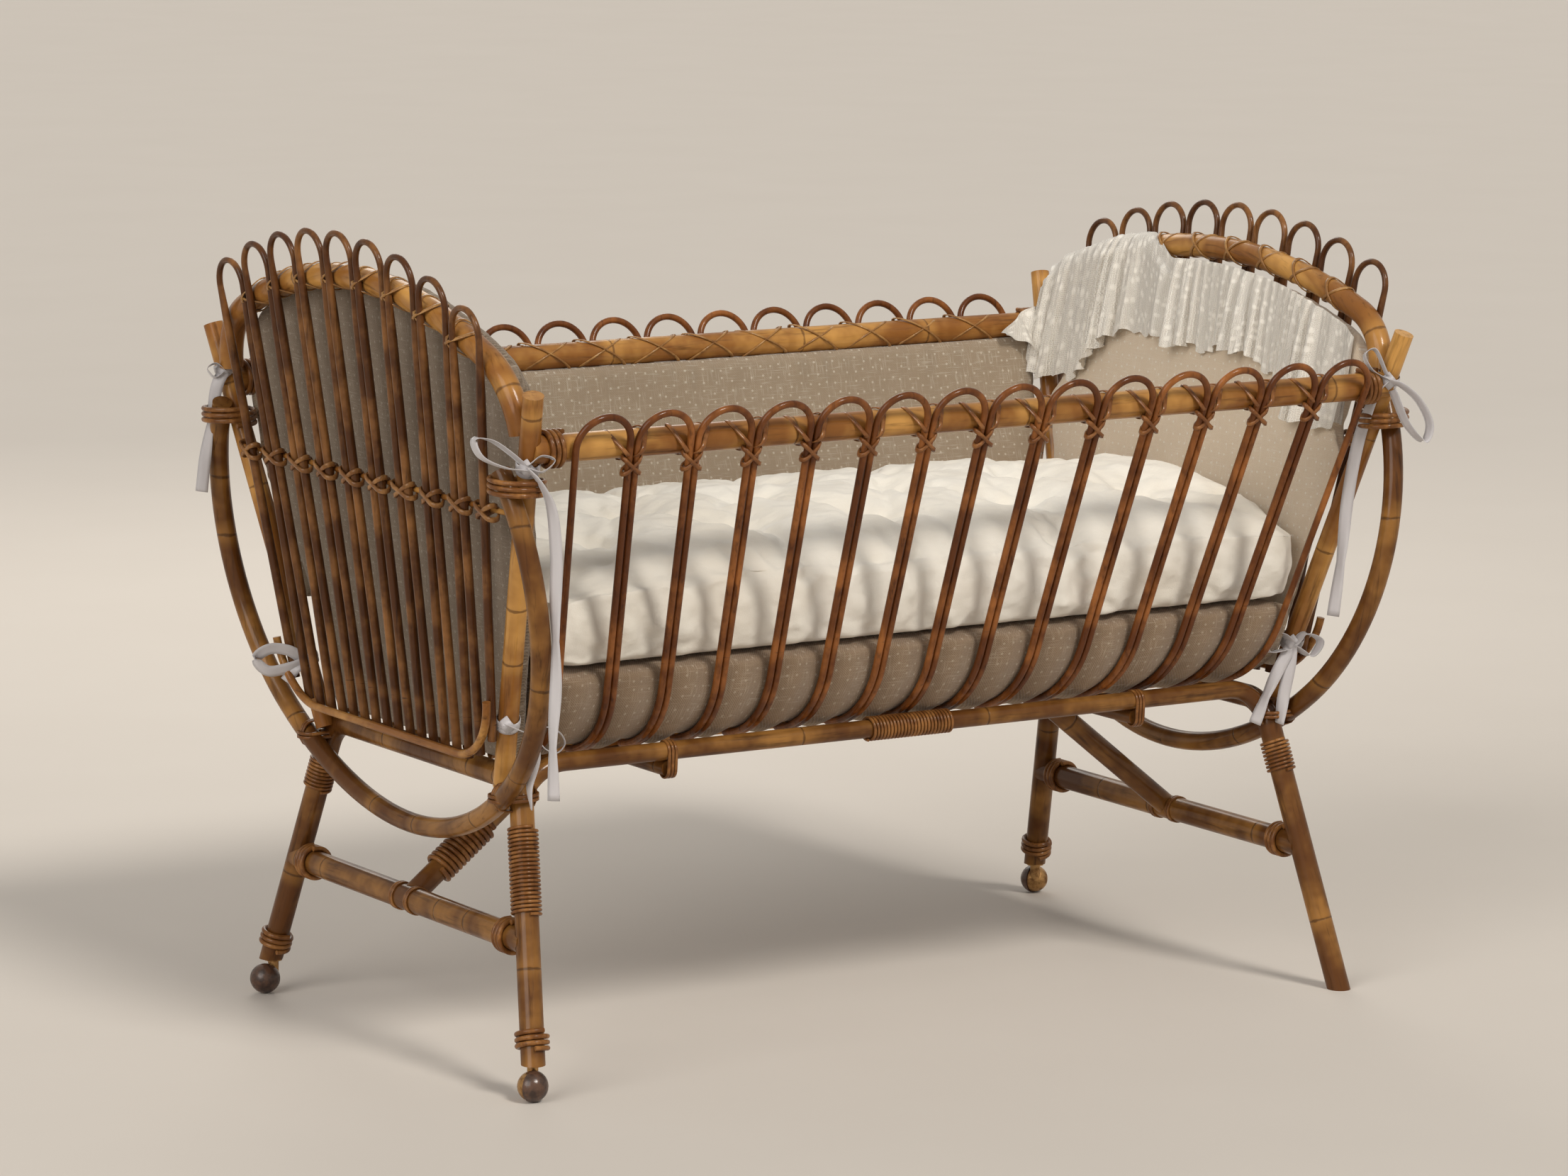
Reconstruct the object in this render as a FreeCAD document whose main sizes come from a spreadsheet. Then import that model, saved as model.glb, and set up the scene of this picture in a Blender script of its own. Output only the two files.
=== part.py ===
import FreeCAD, Part
import math
import os
import Sketcher

# A rattan cradle on two bent trestles, in millimetres.
# +X runs along the cradle to its right end, -Y is the near side, +Z is up,
# and the origin is on the floor under the middle of the cradle.

Vector = FreeCAD.Vector
Rotation = FreeCAD.Rotation
Placement = FreeCAD.Placement
UP = Vector(0, 0, 1)
ALONG = Vector(1, 0, 0)
ACROSS = Vector(0, 1, 0)

SIZES = (
    ("seat_clearance", 0.3),
    ("cut_overrun", 40),
    ("post_diameter", 22),
    ("post_top_half_length", 560),
    ("post_top_half_width", 355),
    ("post_top_height", 753),
    ("post_foot_half_length", 504.2),
    ("post_foot_half_width", 196.9),
    ("post_foot_height", 317),
    ("top_rail_diameter", 30),
    ("top_rail_drop", 59.5),
    ("bottom_rail_diameter", 20),
    ("bottom_rail_half_spacing", 207),
    ("bottom_rail_straight", 436),
    ("bottom_rail_bend_radius", 55),
    ("arch_diameter", 27),
    ("arch_half_span", 322),
    ("arch_spring_drop", 53),
    ("left_arch_rise", 140),
    ("right_arch_rise", 116),
    ("hoop_diameter", 22),
    ("hoop_half_width", 348),
    ("hoop_bottom_height", 240),
    ("hoop_top_drop", 81),
    ("trestle_diameter", 26),
    ("trestle_foot_half_length", 528),
    ("trestle_foot_half_width", 306),
    ("trestle_top_half_length", 487.8),
    ("trestle_top_half_width", 205.4),
    ("trestle_top_height", 322),
    ("trestle_bend_radius", 40),
    ("crossbar_diameter", 28),
    ("crossbar_height", 160),
    ("bearer_diameter", 18),
    ("bearer_half_spacing", 307),
    ("bearer_overhang", 2),
    ("brace_diameter", 25),
    ("floor_cane_diameter", 10),
    ("floor_cane_pitch", 54),
    ("cane_diameter", 7.6),
    ("pair_spacing", 9.2),
    ("side_loop_pitch", 73.4),
    ("side_loop_lift", 10),
    ("side_cane_bend_radius", 120),
    ("end_cane_diameter", 10),
    ("end_loop_diameter", 7),
    ("end_cane_taper", 60),
    ("end_pair_spacing", 9.5),
    ("end_loop_pitch", 65),
    ("end_loop_lift", 24),
    ("end_cane_foot_drop", 6),
    ("bow_diameter", 9),
    ("bow_height", 352),
    ("bow_half_width", 235),
    ("bow_end_height", 420),
    ("bow_bend_radius", 80),
    ("weaver_diameter", 6),
    ("weaver_drop", 30),
    ("nail_diameter", 2.6),
    ("nail_length", 46),
    ("nail_setting", 1.5),
    ("nail_slack", 0.03),
    ("binding_diameter", 5.4),
    ("binding_pitch", 6.2),
    ("twine_diameter", 3.4),
    ("twine_pitch", 4.4),
    ("lashing_spread", 3.2),
    ("caster_leg_height", 38),
    ("wheel_radius", 17),
    ("wheel_gap", 0.4),
    ("wheel_bore_depth", 11),
    ("hood_radius", 16),
    ("hood_bore_depth", 11),
    ("caster_trail", 9),
    ("caster_side_offset", 7),
    ("axle_diameter", 4),
    ("axle_slack", 0.05),
    ("axle_press_slack", 0.01),
    ("stem_diameter", 7),
    ("stem_length", 19),
    ("collar_diameter", 12),
    ("swivel_gap", 0.3),
    ("sleeve_diameter", 10),
    ("sleeve_length", 20),
    ("flange_diameter", 20),
    ("flange_thickness", 1.5),
    ("bumper_thickness", 22),
    ("bumper_margin", 1.5),
    ("bumper_arch_overlap", 8),
    ("bumper_lashing_keep", 37),
    ("bumper_lashing_rise", 15),
    ("bumper_foot_height", 352),
    ("bumper_edge_radius", 8),
    ("far_bumper_foot_rise", 8),
    ("pad_gap", 0.9),
    ("pad_edge_radius", 12),
    ("pad_end_inset", 9),
    ("pad_side_rise", 11.6),
    ("mattress_side_gap", 3),
    ("mattress_draw", 8),
    ("mattress_gap", 0.3),
    ("mattress_end_margin", 8),
    ("mattress_edge_rise", 96),
    ("mattress_crown", 24),
    ("mattress_side_bulge", 12),
    ("tuft_depth", 12),
    ("tuft_radius", 42),
    ("lace_fold_width", 22),
    ("lace_fold_depth", 5),
    ("lace_top_margin", 16),
    ("lace_scallop", 6),
    ("lace_thickness", 2.4),
    ("lace_gap", 0.3),
    ("lace_foot_drop", 113),
    ("lace_half_width", 280),
    ("tie_knot", 8),
    ("tie_width", 14),
    ("tie_thickness", 1.2),
    ("tie_loop_length", 46),
    ("tie_tail_length", 118),
    ("upper_tie_drop", 18),
    ("lower_tie_height", 390),
)

# Counts and shares that set patterns and outlines.
SIDE_LOOPS = 14
END_LOOPS = 9
ARCH_HAUNCH_share = 0.643
FLOOR_CANES = 5
SIDE_CANE_FOOT_share = 0.925
END_CANE_FOOT_share = 0.78
CANE_FOOT_TURN_share = 0.72
BRACE_BINDING_share = 0.32
HOOP_MIDDLE_share = 0.683
HOOP_SIDE_share = 0.898
HOOP_DEPTH_share = 0.9
LACE_SCALLOPS = 11
LACE_SIDE_RISE_share = 0.5
TUFT_COLUMN_shares = (-0.74, -0.37, 0, 0.37, 0.74)
TUFT_ROW_shares = (-0.42, 0.42)
# Each station of the pad: which end, how far back from it, how far the outline is drawn in.
PAD_STATION_shares = (
    (-1, 0, 1), (-1, 0.25, 0.4), (-1, 1, 0), (1, 1, 0), (1, 0.25, 0.4), (1, 0, 1),
)
# Each station of the mattress: its place along, how far the sides draw in, how far the edges close.
MATTRESS_MIDDLE_shares = ((-0.95, 0, 0), (0, 0.7, 0), (0.95, 0, 0))
MATTRESS_END_shares = ((0.95, 0, 0), (0.975, 0.35, 0.4), (0.993, 1.2, 1.4), (1, 2.2, 2.6))
# The posts that have ribbon ties, and the way each tie faces in plan, in degrees.
TIES = (("near_left", -90), ("far_left", 90), ("near_right", -90))
# Shares of a full loop and of a full tail, for the upper and the lower ties.
UPPER_TIE_shares = (1, 1)
LOWER_TIE_shares = (0.5, 0.35)
TIE_SPREAD_share = 0.16
TIE_LOOP_shares = (
    (0, 0.04), (0.35, 0.2), (0.75, 0.26), (0.95, 0.17), (1, 0.03),
    (0.93, -0.1), (0.7, -0.16), (0.35, -0.12), (0, -0.04),
)
TIE_TAIL_shares = ((0, 0), (0.12, 0.5), (0.3, 0.75), (0.55, 0.6), (0.8, 0.8), (1, 0.7))
BAR_BINDING_share = 4.2

doc = FreeCAD.newDocument("Cradle")
sheet = doc.addObject("Spreadsheet::Sheet", "Sizes")
for row, (alias, number) in enumerate(SIZES, 1):
    sheet.set(f"A{row}", alias.replace("_", " "))
    sheet.set(f"B{row}", str(number))
    sheet.setAlias(f"B{row}", alias)
doc.recompute()


def size(alias):
    """The number in a named cell of the sheet."""
    return float(sheet.get(alias))


def half(alias):
    """Half of a named size, such as a radius from a diameter."""
    return size(alias) / 2


nodes = {}


def keep(thing, label):
    """Names a finished sub-part and puts it on the list that is written out."""
    thing.Label = label
    nodes[label] = thing
    return thing


def facing(origin, direction):
    """A placement at a point, with local Z turned to a direction."""
    return Placement(origin, Rotation(UP, direction))


def half_turned(shape_placement):
    """The same placement on the other side, half a turn about the vertical."""
    return Placement(Vector(), Rotation(UP, 180)).multiply(shape_placement)


# Poles and the way they meet

def pole(name, start, end, diameter, allowance="0"):
    """A straight pole between two points; an allowance makes it a cutting tool."""
    body = doc.addObject("Part::Cylinder", name)
    body.setExpression("Radius", f"Sizes.{diameter} / 2 + {allowance}")
    body.Height = (end - start).Length
    body.Placement = facing(start, end - start)
    return body


def envelope(name, start, end, diameter):
    """The room that a pole takes, with the seat clearance around it."""
    return pole(name + "_room", start, end, diameter, "Sizes.seat_clearance")


def without(base, *tools):
    """The base with each tool cut away in turn."""
    for tool in tools:
        cut = doc.addObject("Part::Cut", base.Name + "_cut")
        cut.Base = base
        cut.Tool = tool
        base = cut
    return base


def bent_pole(name, edges, diameter, allowance="0"):
    """A pole swept along a path of lines and tangent arcs."""
    spine = doc.addObject("Part::Feature", name + "_path")
    spine.Shape = Part.Wire(edges)
    section = doc.addObject("Part::Circle", name + "_section")
    section.setExpression("Radius", f"Sizes.{diameter} / 2 + {allowance}")
    first = edges[0]
    section.Placement = facing(first.valueAt(first.FirstParameter), first.tangentAt(first.FirstParameter))
    sweep = doc.addObject("Part::Sweep", name)
    sweep.Sections = [section]
    sweep.Spine = (spine, [f"Edge{index + 1}" for index in range(len(edges))])
    sweep.Solid = True
    sweep.Frenet = False
    return sweep


def line(start, end):
    return Part.LineSegment(start, end).toShape()


def arc(start, through, end):
    return Part.Arc(start, through, end).toShape()


def arc_about(centre, start, end):
    """The shorter arc between two points about a centre."""
    middle = (start - centre) + (end - centre)
    middle.normalize()
    return arc(start, centre + middle * (start - centre).Length, end)


def cane(edges, diameter):
    """A round cane along a path, checked by its section times its length."""
    path = Part.Wire(edges)
    first = edges[0]
    start = first.FirstParameter
    ring = Part.makeCircle(diameter / 2, first.valueAt(start), first.tangentAt(start))
    solid = path.makePipeShell([Part.Wire(ring)], True, False)
    expected = math.pi * diameter ** 2 / 4 * path.Length
    if abs(solid.Volume / expected - 1) > 0.02 or not solid.isValid():
        raise ValueError(f"a cane came out with {solid.Volume / expected:.3f} of its volume")
    return solid


def feature(label, solids, placement=Placement()):
    """A sub-part made of one solid or a group of separate solids."""
    piece = doc.addObject("Part::Feature", label)
    piece.Shape = solids[0] if len(solids) == 1 else Part.makeCompound(solids)
    piece.Placement = placement
    return keep(piece, label)


CORNERS = {
    "near_left": (-1, -1),
    "far_left": (-1, 1),
    "near_right": (1, -1),
    "far_right": (1, 1),
}
SIDES = {"far": 1, "near": -1}
ENDS = {"right": 1, "left": -1}
clearance = size("seat_clearance")

# Corner posts

post_top = Vector(size("post_top_half_length"), size("post_top_half_width"), size("post_top_height"))
post_foot = Vector(size("post_foot_half_length"), size("post_foot_half_width"), size("post_foot_height"))
end_slope = (post_top.x - post_foot.x) / (post_top.z - post_foot.z)
side_slope = (post_top.y - post_foot.y) / (post_top.z - post_foot.z)


def corner(point, signs):
    """A point of the far right corner, mirrored into another corner."""
    return Vector(point.x * signs[0], point.y * signs[1], point.z)


def on_post(height):
    """The far right post's axis at a height."""
    drop = post_top.z - height
    return Vector(post_top.x - end_slope * drop, post_top.y - side_slope * drop, height)


def turned_edges(edges, sign):
    """The right end's path, or the same path at the left end."""
    if sign > 0:
        return edges
    wire = Part.Wire(edges)
    wire.rotate(Vector(), UP, 180)
    return wire.Edges


# Trestles: each is one pole bent into two legs and the rail between them

foot_x = size("trestle_foot_half_length")
foot_y = size("trestle_foot_half_width")
trestle_z = size("trestle_top_height")
shoulder = Vector(size("trestle_top_half_length"), size("trestle_top_half_width"), trestle_z)
trestle_foot = Vector(foot_x, foot_y, 0)
leg_direction = (trestle_foot - shoulder).normalize()
bend_turn = math.acos(ACROSS.dot(leg_direction))
bend_reach = size("trestle_bend_radius") * math.tan(bend_turn / 2)
rail_bend = shoulder - ACROSS * bend_reach
leg_bend = shoulder + leg_direction * bend_reach
bisector = (rail_bend + leg_bend - shoulder * 2).normalize()
bend_centre = shoulder + bisector * (size("trestle_bend_radius") / math.cos(bend_turn / 2))


def on_leg(height):
    """The far right leg's axis at a height."""
    return trestle_foot + leg_direction * (height / leg_direction.z)


def mirrored_y(point):
    return Vector(point.x, -point.y, point.z)


def trestle_path():
    """From under one foot, over both bends, to under the other foot."""
    low = on_leg(-size("cut_overrun"))
    return [
        line(low, leg_bend),
        arc_about(bend_centre, leg_bend, rail_bend),
        line(rail_bend, mirrored_y(rail_bend)),
        arc_about(mirrored_y(bend_centre), mirrored_y(rail_bend), mirrored_y(leg_bend)),
        line(mirrored_y(leg_bend), mirrored_y(low)),
    ]


# The bottom rail rests on the trestle's bend, so its height follows from the bend.
bottom_rail_y = size("bottom_rail_half_spacing")
pole_reach = half("trestle_diameter") + half("bottom_rail_diameter") + clearance * 2
bend_to_rail = size("trestle_bend_radius") + pole_reach
bottom_rail_z = bend_centre.z + math.sqrt(bend_to_rail ** 2 - (bottom_rail_y - bend_centre.y) ** 2)
top_rail_z = post_top.z - size("top_rail_drop")
arch_spring_z = post_top.z - size("arch_spring_drop")
hoop_bottom_z = size("hoop_bottom_height")
hoop_top_z = post_top.z - size("hoop_top_drop")
hoop_depth = (hoop_top_z - hoop_bottom_z) * HOOP_MIDDLE_share
hoop_depth = min(hoop_depth, size("hoop_half_width") * HOOP_DEPTH_share)
hoop_middle_z = hoop_bottom_z + hoop_depth
hoop_side_radius = hoop_depth * HOOP_SIDE_share
rail_end = on_post(top_rail_z)

post_rooms = {}
for name, signs in CORNERS.items():
    foot, top = corner(post_foot, signs), corner(post_top, signs)
    post_rooms[name] = envelope(name + "_post", foot, top, "post_diameter")


# Nails that hold the butted poles: each runs through one pole into the end of the next

def nail_line(through, into, through_diameter):
    """A nail's ends: from just under the outer face of one pole into the other."""
    direction = (into - through).normalize()
    head = through - direction * (half(through_diameter) - size("nail_setting"))
    return head, head + direction * size("nail_length")


nail_ends = []
nail_rooms = {}


def nail(joint, through, into, through_diameter):
    """Adds a nail and the hole that both poles have for it."""
    head, tip = nail_line(through, into, through_diameter)
    nail_ends.append((head, tip))
    nail_rooms[joint] = pole(joint + "_nail_hole", head, tip, "nail_diameter", "Sizes.nail_slack")


for name, signs in CORNERS.items():
    rail_joint = corner(rail_end, signs)
    nail(name + "_rail", rail_joint, rail_joint - ALONG * signs[0], "post_diameter")
    bar_joint = corner(on_leg(size("crossbar_height")), signs)
    nail(name + "_bar", bar_joint, bar_joint - ACROSS * signs[1], "trestle_diameter")

trestle_rooms = {
    end: bent_pole(
        f"{end}_trestle_room", turned_edges(trestle_path(), sign), "trestle_diameter", "Sizes.seat_clearance",
    )
    for end, sign in ENDS.items()
}
for name, signs in CORNERS.items():
    stick = pole(name + "_pole", corner(post_foot, signs), corner(post_top, signs), "post_diameter")
    shoulder_room = trestle_rooms[name.split("_")[1]]
    keep(without(stick, nail_rooms[name + "_rail"], shoulder_room), name + "_post")


# Top rails, coped to the posts at both ends

for side, sign in SIDES.items():
    names = [name for name, signs in CORNERS.items() if signs[1] == sign]
    left, right = corner(rail_end, (-1, sign)), corner(rail_end, (1, sign))
    rail = pole(f"{side}_rail_pole", left, right, "top_rail_diameter")
    rooms = [post_rooms[name] for name in names] + [nail_rooms[name + "_rail"] for name in names]
    keep(without(rail, *rooms), f"{side}_top_rail")

# Bottom rails, whose ends turn down and butt against the trestles

rail_turn_x = size("bottom_rail_straight")
rail_turn_radius = size("bottom_rail_bend_radius")
rail_turn = math.pi / 4


def on_bottom_rail(turn, beyond=0):
    """A point of the far bottom rail's right end, by how far it has turned down."""
    x = rail_turn_x + rail_turn_radius * math.sin(turn) + beyond * math.cos(turn)
    z = bottom_rail_z - rail_turn_radius * (1 - math.cos(turn)) - beyond * math.sin(turn)
    return Vector(x, bottom_rail_y, z)


def mirrored_x(point):
    return Vector(-point.x, point.y, point.z)


rail_tip = on_bottom_rail(rail_turn, (shoulder.x - on_bottom_rail(rail_turn).x) / math.cos(rail_turn))
right_turn = [on_bottom_rail(rail_turn * share) for share in (0, 1 / 2, 1)]
left_turn = [mirrored_x(point) for point in right_turn]
bottom_rail_path = [
    line(mirrored_x(rail_tip), left_turn[2]),
    arc(left_turn[2], left_turn[1], left_turn[0]),
    line(left_turn[0], right_turn[0]),
    arc(*right_turn),
    line(right_turn[2], rail_tip),
]
for side, sign in SIDES.items():
    rail = bent_pole(f"{side}_bottom_pole", turned_edges(bottom_rail_path, sign), "bottom_rail_diameter")
    keep(without(rail, *trestle_rooms.values()), f"{side}_bottom_rail")


# Casters: where they stand, and which legs have one

CASTERS = {"near_left": 200, "far_left": 150, "far_right": 20}
leg_end = size("caster_leg_height")
stem_axis = on_leg(leg_end + size("sleeve_length") / 2)


def below(name, signs, height):
    """A block that cuts a leg off level at a height."""
    block = doc.addObject("Part::Box", name + "_leg_cut")
    overrun = size("cut_overrun")
    for side in ("Length", "Width"):
        block.setExpression(side, "Sizes.cut_overrun * 2")
    block.Height = height + overrun * 2
    middle = corner(on_leg(height), signs)
    block.Placement = Placement(Vector(middle.x - overrun, middle.y - overrun, -overrun * 2), Rotation())
    return block


def sleeve_bore(name, signs):
    """The upright hole in a leg's end that takes the caster's sleeve."""
    foot = corner(stem_axis, signs)
    foot.z = leg_end - size("cut_overrun")
    top = Vector(foot.x, foot.y, leg_end + size("sleeve_length") + clearance)
    return pole(name + "_sleeve_hole", foot, top, "sleeve_diameter", "Sizes.nail_slack")


for end, sign in ENDS.items():
    tools = []
    for name, signs in CORNERS.items():
        if signs[0] != sign:
            continue
        tools.append(below(name, signs, leg_end if name in CASTERS else 0))
        tools.append(nail_rooms[name + "_bar"])
        if name in CASTERS:
            tools.append(sleeve_bore(name, signs))
    path = turned_edges(trestle_path(), sign)
    keep(without(bent_pole(f"{end}_trestle_pole", path, "trestle_diameter"), *tools), f"{end}_trestle")

# Crossbars, braces and the floor

bar_end = on_leg(size("crossbar_height"))
bearer_z = bottom_rail_z - half("bottom_rail_diameter") - half("bearer_diameter") - clearance
bearer_x = size("bearer_half_spacing")
bearer_y = bottom_rail_y + size("bearer_overhang")
for end, sign in ENDS.items():
    names = [name for name, signs in CORNERS.items() if signs[0] == sign]
    legs = [
        envelope(
            name + "_leg", corner(on_leg(0), CORNERS[name]), corner(leg_bend, CORNERS[name]), "trestle_diameter",
        )
        for name in names
    ]
    ends = [corner(bar_end, (sign, 1)), corner(bar_end, (sign, -1))]
    bar = pole(f"{end}_bar_pole", *ends, "crossbar_diameter")
    keep(without(bar, *legs, *[nail_rooms[name + "_bar"] for name in names]), f"{end}_crossbar")
    bearer_ends = [Vector(bearer_x * sign, y, bearer_z) for y in (-bearer_y, bearer_y)]
    keep(pole(f"{end}_bearer_pole", *bearer_ends, "bearer_diameter"), f"{end}_floor_bearer")
    low = Vector(bar_end.x * sign, 0, bar_end.z)
    high = Vector(bearer_x * sign, 0, bearer_z)
    high = high - (high - low).normalize() * half("bearer_diameter")
    rooms = [
        envelope(f"{end}_bar", *ends, "crossbar_diameter"),
        envelope(f"{end}_bearer", *bearer_ends, "bearer_diameter"),
    ]
    keep(without(pole(f"{end}_brace_pole", low, high, "brace_diameter"), *rooms), f"{end}_brace")

floor_z = bearer_z + half("bearer_diameter") + clearance + half("floor_cane_diameter")
floor_x = shoulder.x - half("trestle_diameter") - size("floor_cane_diameter") / 2
floor_canes = []
for index in range(FLOOR_CANES):
    y = (index - (FLOOR_CANES - 1) / 2) * size("floor_cane_pitch")
    start = Vector(-floor_x, y, floor_z)
    floor_canes.append(Part.makeCylinder(half("floor_cane_diameter"), floor_x * 2, start, ALONG))
feature("floor_canes", floor_canes)

# The end frame: its plane holds the posts, the arch and the end canes

end_out = Vector(1, 0, -end_slope).normalize()
end_up = Vector(end_slope, 0, 1).normalize()


def on_end(y, height, out):
    """A point by its place across the end, its height in the end's plane and its distance outwards."""
    base = on_post(height)
    return Vector(base.x, y, height) + end_out * out


def three_centred(half_span, spring, rise, haunch, end_height, plane_point):
    """An arch of three tangent arcs in a leaning plane; a negative rise turns it into a hanging bow."""
    sense = 1 if rise > 0 else -1
    steepest = (plane_point(0, spring + abs(rise)) - plane_point(0, spring)).normalize()

    def place(y, height):
        return plane_point(y, spring) + steepest * (height - spring)

    depth = abs(rise)
    crown = (half_span ** 2 + depth ** 2 - 2 * half_span * haunch) / (2 * (depth - haunch))
    crown_z = spring + sense * (depth - crown)
    haunch_y = half_span - haunch
    reach = math.hypot(haunch_y, spring - crown_z)
    join_y = haunch_y * crown / reach
    join_z = crown_z + (spring - crown_z) * crown / reach
    end_y = haunch_y + math.sqrt(haunch ** 2 - (end_height - spring) ** 2)
    first_turn = math.atan2(join_z - spring, join_y - haunch_y)
    last_turn = math.atan2(end_height - spring, end_y - haunch_y)
    turn = (first_turn + last_turn) / 2
    mid_y = haunch_y + haunch * math.cos(turn)
    mid_z = spring + haunch * math.sin(turn)
    return [
        arc(place(end_y, end_height), place(mid_y, mid_z), place(join_y, join_z)),
        arc(place(join_y, join_z), place(0, spring + rise), place(-join_y, join_z)),
        arc(place(-join_y, join_z), place(-mid_y, mid_z), place(-end_y, end_height)),
    ]


arch_foot = top_rail_z + half("top_rail_diameter") + clearance
arch_rises = {end: size(f"{end}_arch_rise") for end in ENDS}
for end, sign in ENDS.items():
    names = [name for name, signs in CORNERS.items() if signs[0] == sign]
    arch_path = three_centred(
        size("arch_half_span"), arch_spring_z, arch_rises[end], arch_rises[end] * ARCH_HAUNCH_share, arch_foot,
        lambda y, height: on_end(y, height, 0),
    )
    arch = bent_pole(f"{end}_arch_pole", turned_edges(arch_path, sign), "arch_diameter")
    keep(without(arch, *[post_rooms[name] for name in names]), f"{end}_arch")

# Hoops: each hangs outside its end, against the posts above and the trestle's legs below

pole_sum = half("hoop_diameter") + clearance


def hoop_meets_post():
    """Height where the hoop's outline crosses the post's, seen along the cradle."""
    low = hoop_middle_z
    high = hoop_top_z
    middle_y = size("hoop_half_width") - hoop_side_radius
    for _ in range(40):
        height = (low + high) / 2
        hoop_y = middle_y + math.sqrt(hoop_side_radius ** 2 - (height - hoop_middle_z) ** 2)
        if hoop_y > on_post(height).y:
            low = height
        else:
            high = height
    return height


def hoop_meets_leg():
    """Height where the hoop's outline crosses the leg's, seen along the cradle."""
    depth = hoop_middle_z - hoop_bottom_z
    width = size("hoop_half_width")
    low = hoop_bottom_z
    high = leg_bend.z + size("trestle_bend_radius")
    for _ in range(40):
        height = (low + high) / 2
        hoop_y = width * math.sqrt(1 - ((hoop_middle_z - height) / depth) ** 2)
        if hoop_y < on_leg(height).y:
            low = height
        else:
            high = height
    return height


post_cross = hoop_meets_post()
leg_cross = hoop_meets_leg()
hoop_high_x = on_post(post_cross).x + half("post_diameter") + pole_sum + clearance
hoop_low_x = on_leg(leg_cross).x + half("trestle_diameter") + pole_sum + clearance
hoop_slope = (hoop_high_x - hoop_low_x) / (post_cross - leg_cross)


def on_hoop(y, height):
    """A point of the hoop's plane, which leans out towards the top."""
    return Vector(hoop_low_x + hoop_slope * (height - leg_cross), y, height)


hoop_path = three_centred(
    size("hoop_half_width"), hoop_middle_z, hoop_bottom_z - hoop_middle_z,
    hoop_side_radius, hoop_top_z, on_hoop,
)
for end, sign in ENDS.items():
    keep(bent_pole(f"{end}_hoop_pole", turned_edges(hoop_path, sign), "hoop_diameter"), f"{end}_hoop")


# Canes bent into hairpins: a loop above the rail and two legs below it

def hairpin_legs(top, foot, top_radius, foot_radius):
    """Tangent points and directions of a hairpin, in a flat frame with the second axis up."""
    axis = (foot - top)
    length = axis.Length
    axis.normalize()
    across = Vector(axis.y, -axis.x, 0) * -1
    lean = math.asin((top_radius - foot_radius) / length)
    legs = []
    for sense in (-1, 1):
        touch = top + across * (sense * top_radius * math.cos(lean)) + axis * (top_radius * math.sin(lean))
        heading = axis * math.cos(lean) - across * (sense * math.sin(lean))
        legs.append((touch, heading))
    return legs, top - axis * top_radius


# Side canes lie outside the top rail, and turn in over the bottom rail under the pad

side_down = Vector(0, -side_slope, -1).normalize()
side_out = Vector(0, 1, -side_slope).normalize()
cane_radius = half("cane_diameter")
cane_offset = half("top_rail_diameter") + clearance + cane_radius
rail_middle = Vector(0, rail_end.y, rail_end.z)
bend_radius = size("side_cane_bend_radius")
rail_from_line = (Vector(0, bottom_rail_y, bottom_rail_z) - rail_middle).dot(side_out) - cane_offset
rail_down_line = (Vector(0, bottom_rail_y, bottom_rail_z) - rail_middle).dot(side_down)
rail_reach = bend_radius + cane_radius + clearance * 3
rail_reach += size("twine_diameter") + half("bottom_rail_diameter")
bend_start = rail_down_line - math.sqrt(rail_reach ** 2 - (bend_radius + rail_from_line) ** 2)
touch_turn = math.acos((bend_radius + rail_from_line) / rail_reach)
foot_turn = math.pi / 2 * CANE_FOOT_TURN_share


def on_side(x, down, inward):
    """A point by its place along the far side, down its slope and inwards from the canes."""
    return rail_middle + ALONG * x + side_down * down + side_out * (cane_offset - inward)


def side_hairpin(x):
    """One bent cane of the far side."""
    radius = (size("side_loop_pitch") - size("pair_spacing")) / 2
    top = Vector(x, size("side_loop_lift"), 0)
    foot = Vector(x * SIDE_CANE_FOOT_share, -bend_start, 0)
    legs, crown = hairpin_legs(top, foot, radius, radius * SIDE_CANE_FOOT_share)
    paths = []
    for touch, heading in legs:
        steep = -heading.y
        start = bend_start + bend_radius * math.sin(touch_turn) * (1 - steep)
        run = (start + touch.y) / steep
        bend_at = touch + heading * run

        def bent(turn):
            forward = heading * (bend_radius * math.sin(turn))
            inward = bend_radius * (1 - math.cos(turn))
            return on_side(bend_at.x + forward.x, -bend_at.y - forward.y, inward)

        upper = on_side(touch.x, -touch.y, 0)
        paths.append((upper, on_side(bend_at.x, -bend_at.y, 0), bent(foot_turn / 2), bent(foot_turn)))
    one, other = paths
    edges = [
        arc(one[3], one[2], one[1]),
        line(one[1], one[0]),
        arc(one[0], on_side(crown.x, -crown.y, 0), other[0]),
        line(other[0], other[1]),
        arc(other[1], other[2], other[3]),
    ]
    return cane(edges, size("cane_diameter"))


side_canes = [
    side_hairpin((index - (SIDE_LOOPS - 1) / 2) * size("side_loop_pitch")) for index in range(SIDE_LOOPS)
]
feature("far_side_canes", side_canes)
feature("near_side_canes", [solid.copy() for solid in side_canes], half_turned(Placement()))

# End canes lie flat outside the arch, and draw together towards their feet

end_radius = half("end_cane_diameter")
end_offset = half("arch_diameter") + clearance + end_radius


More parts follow.
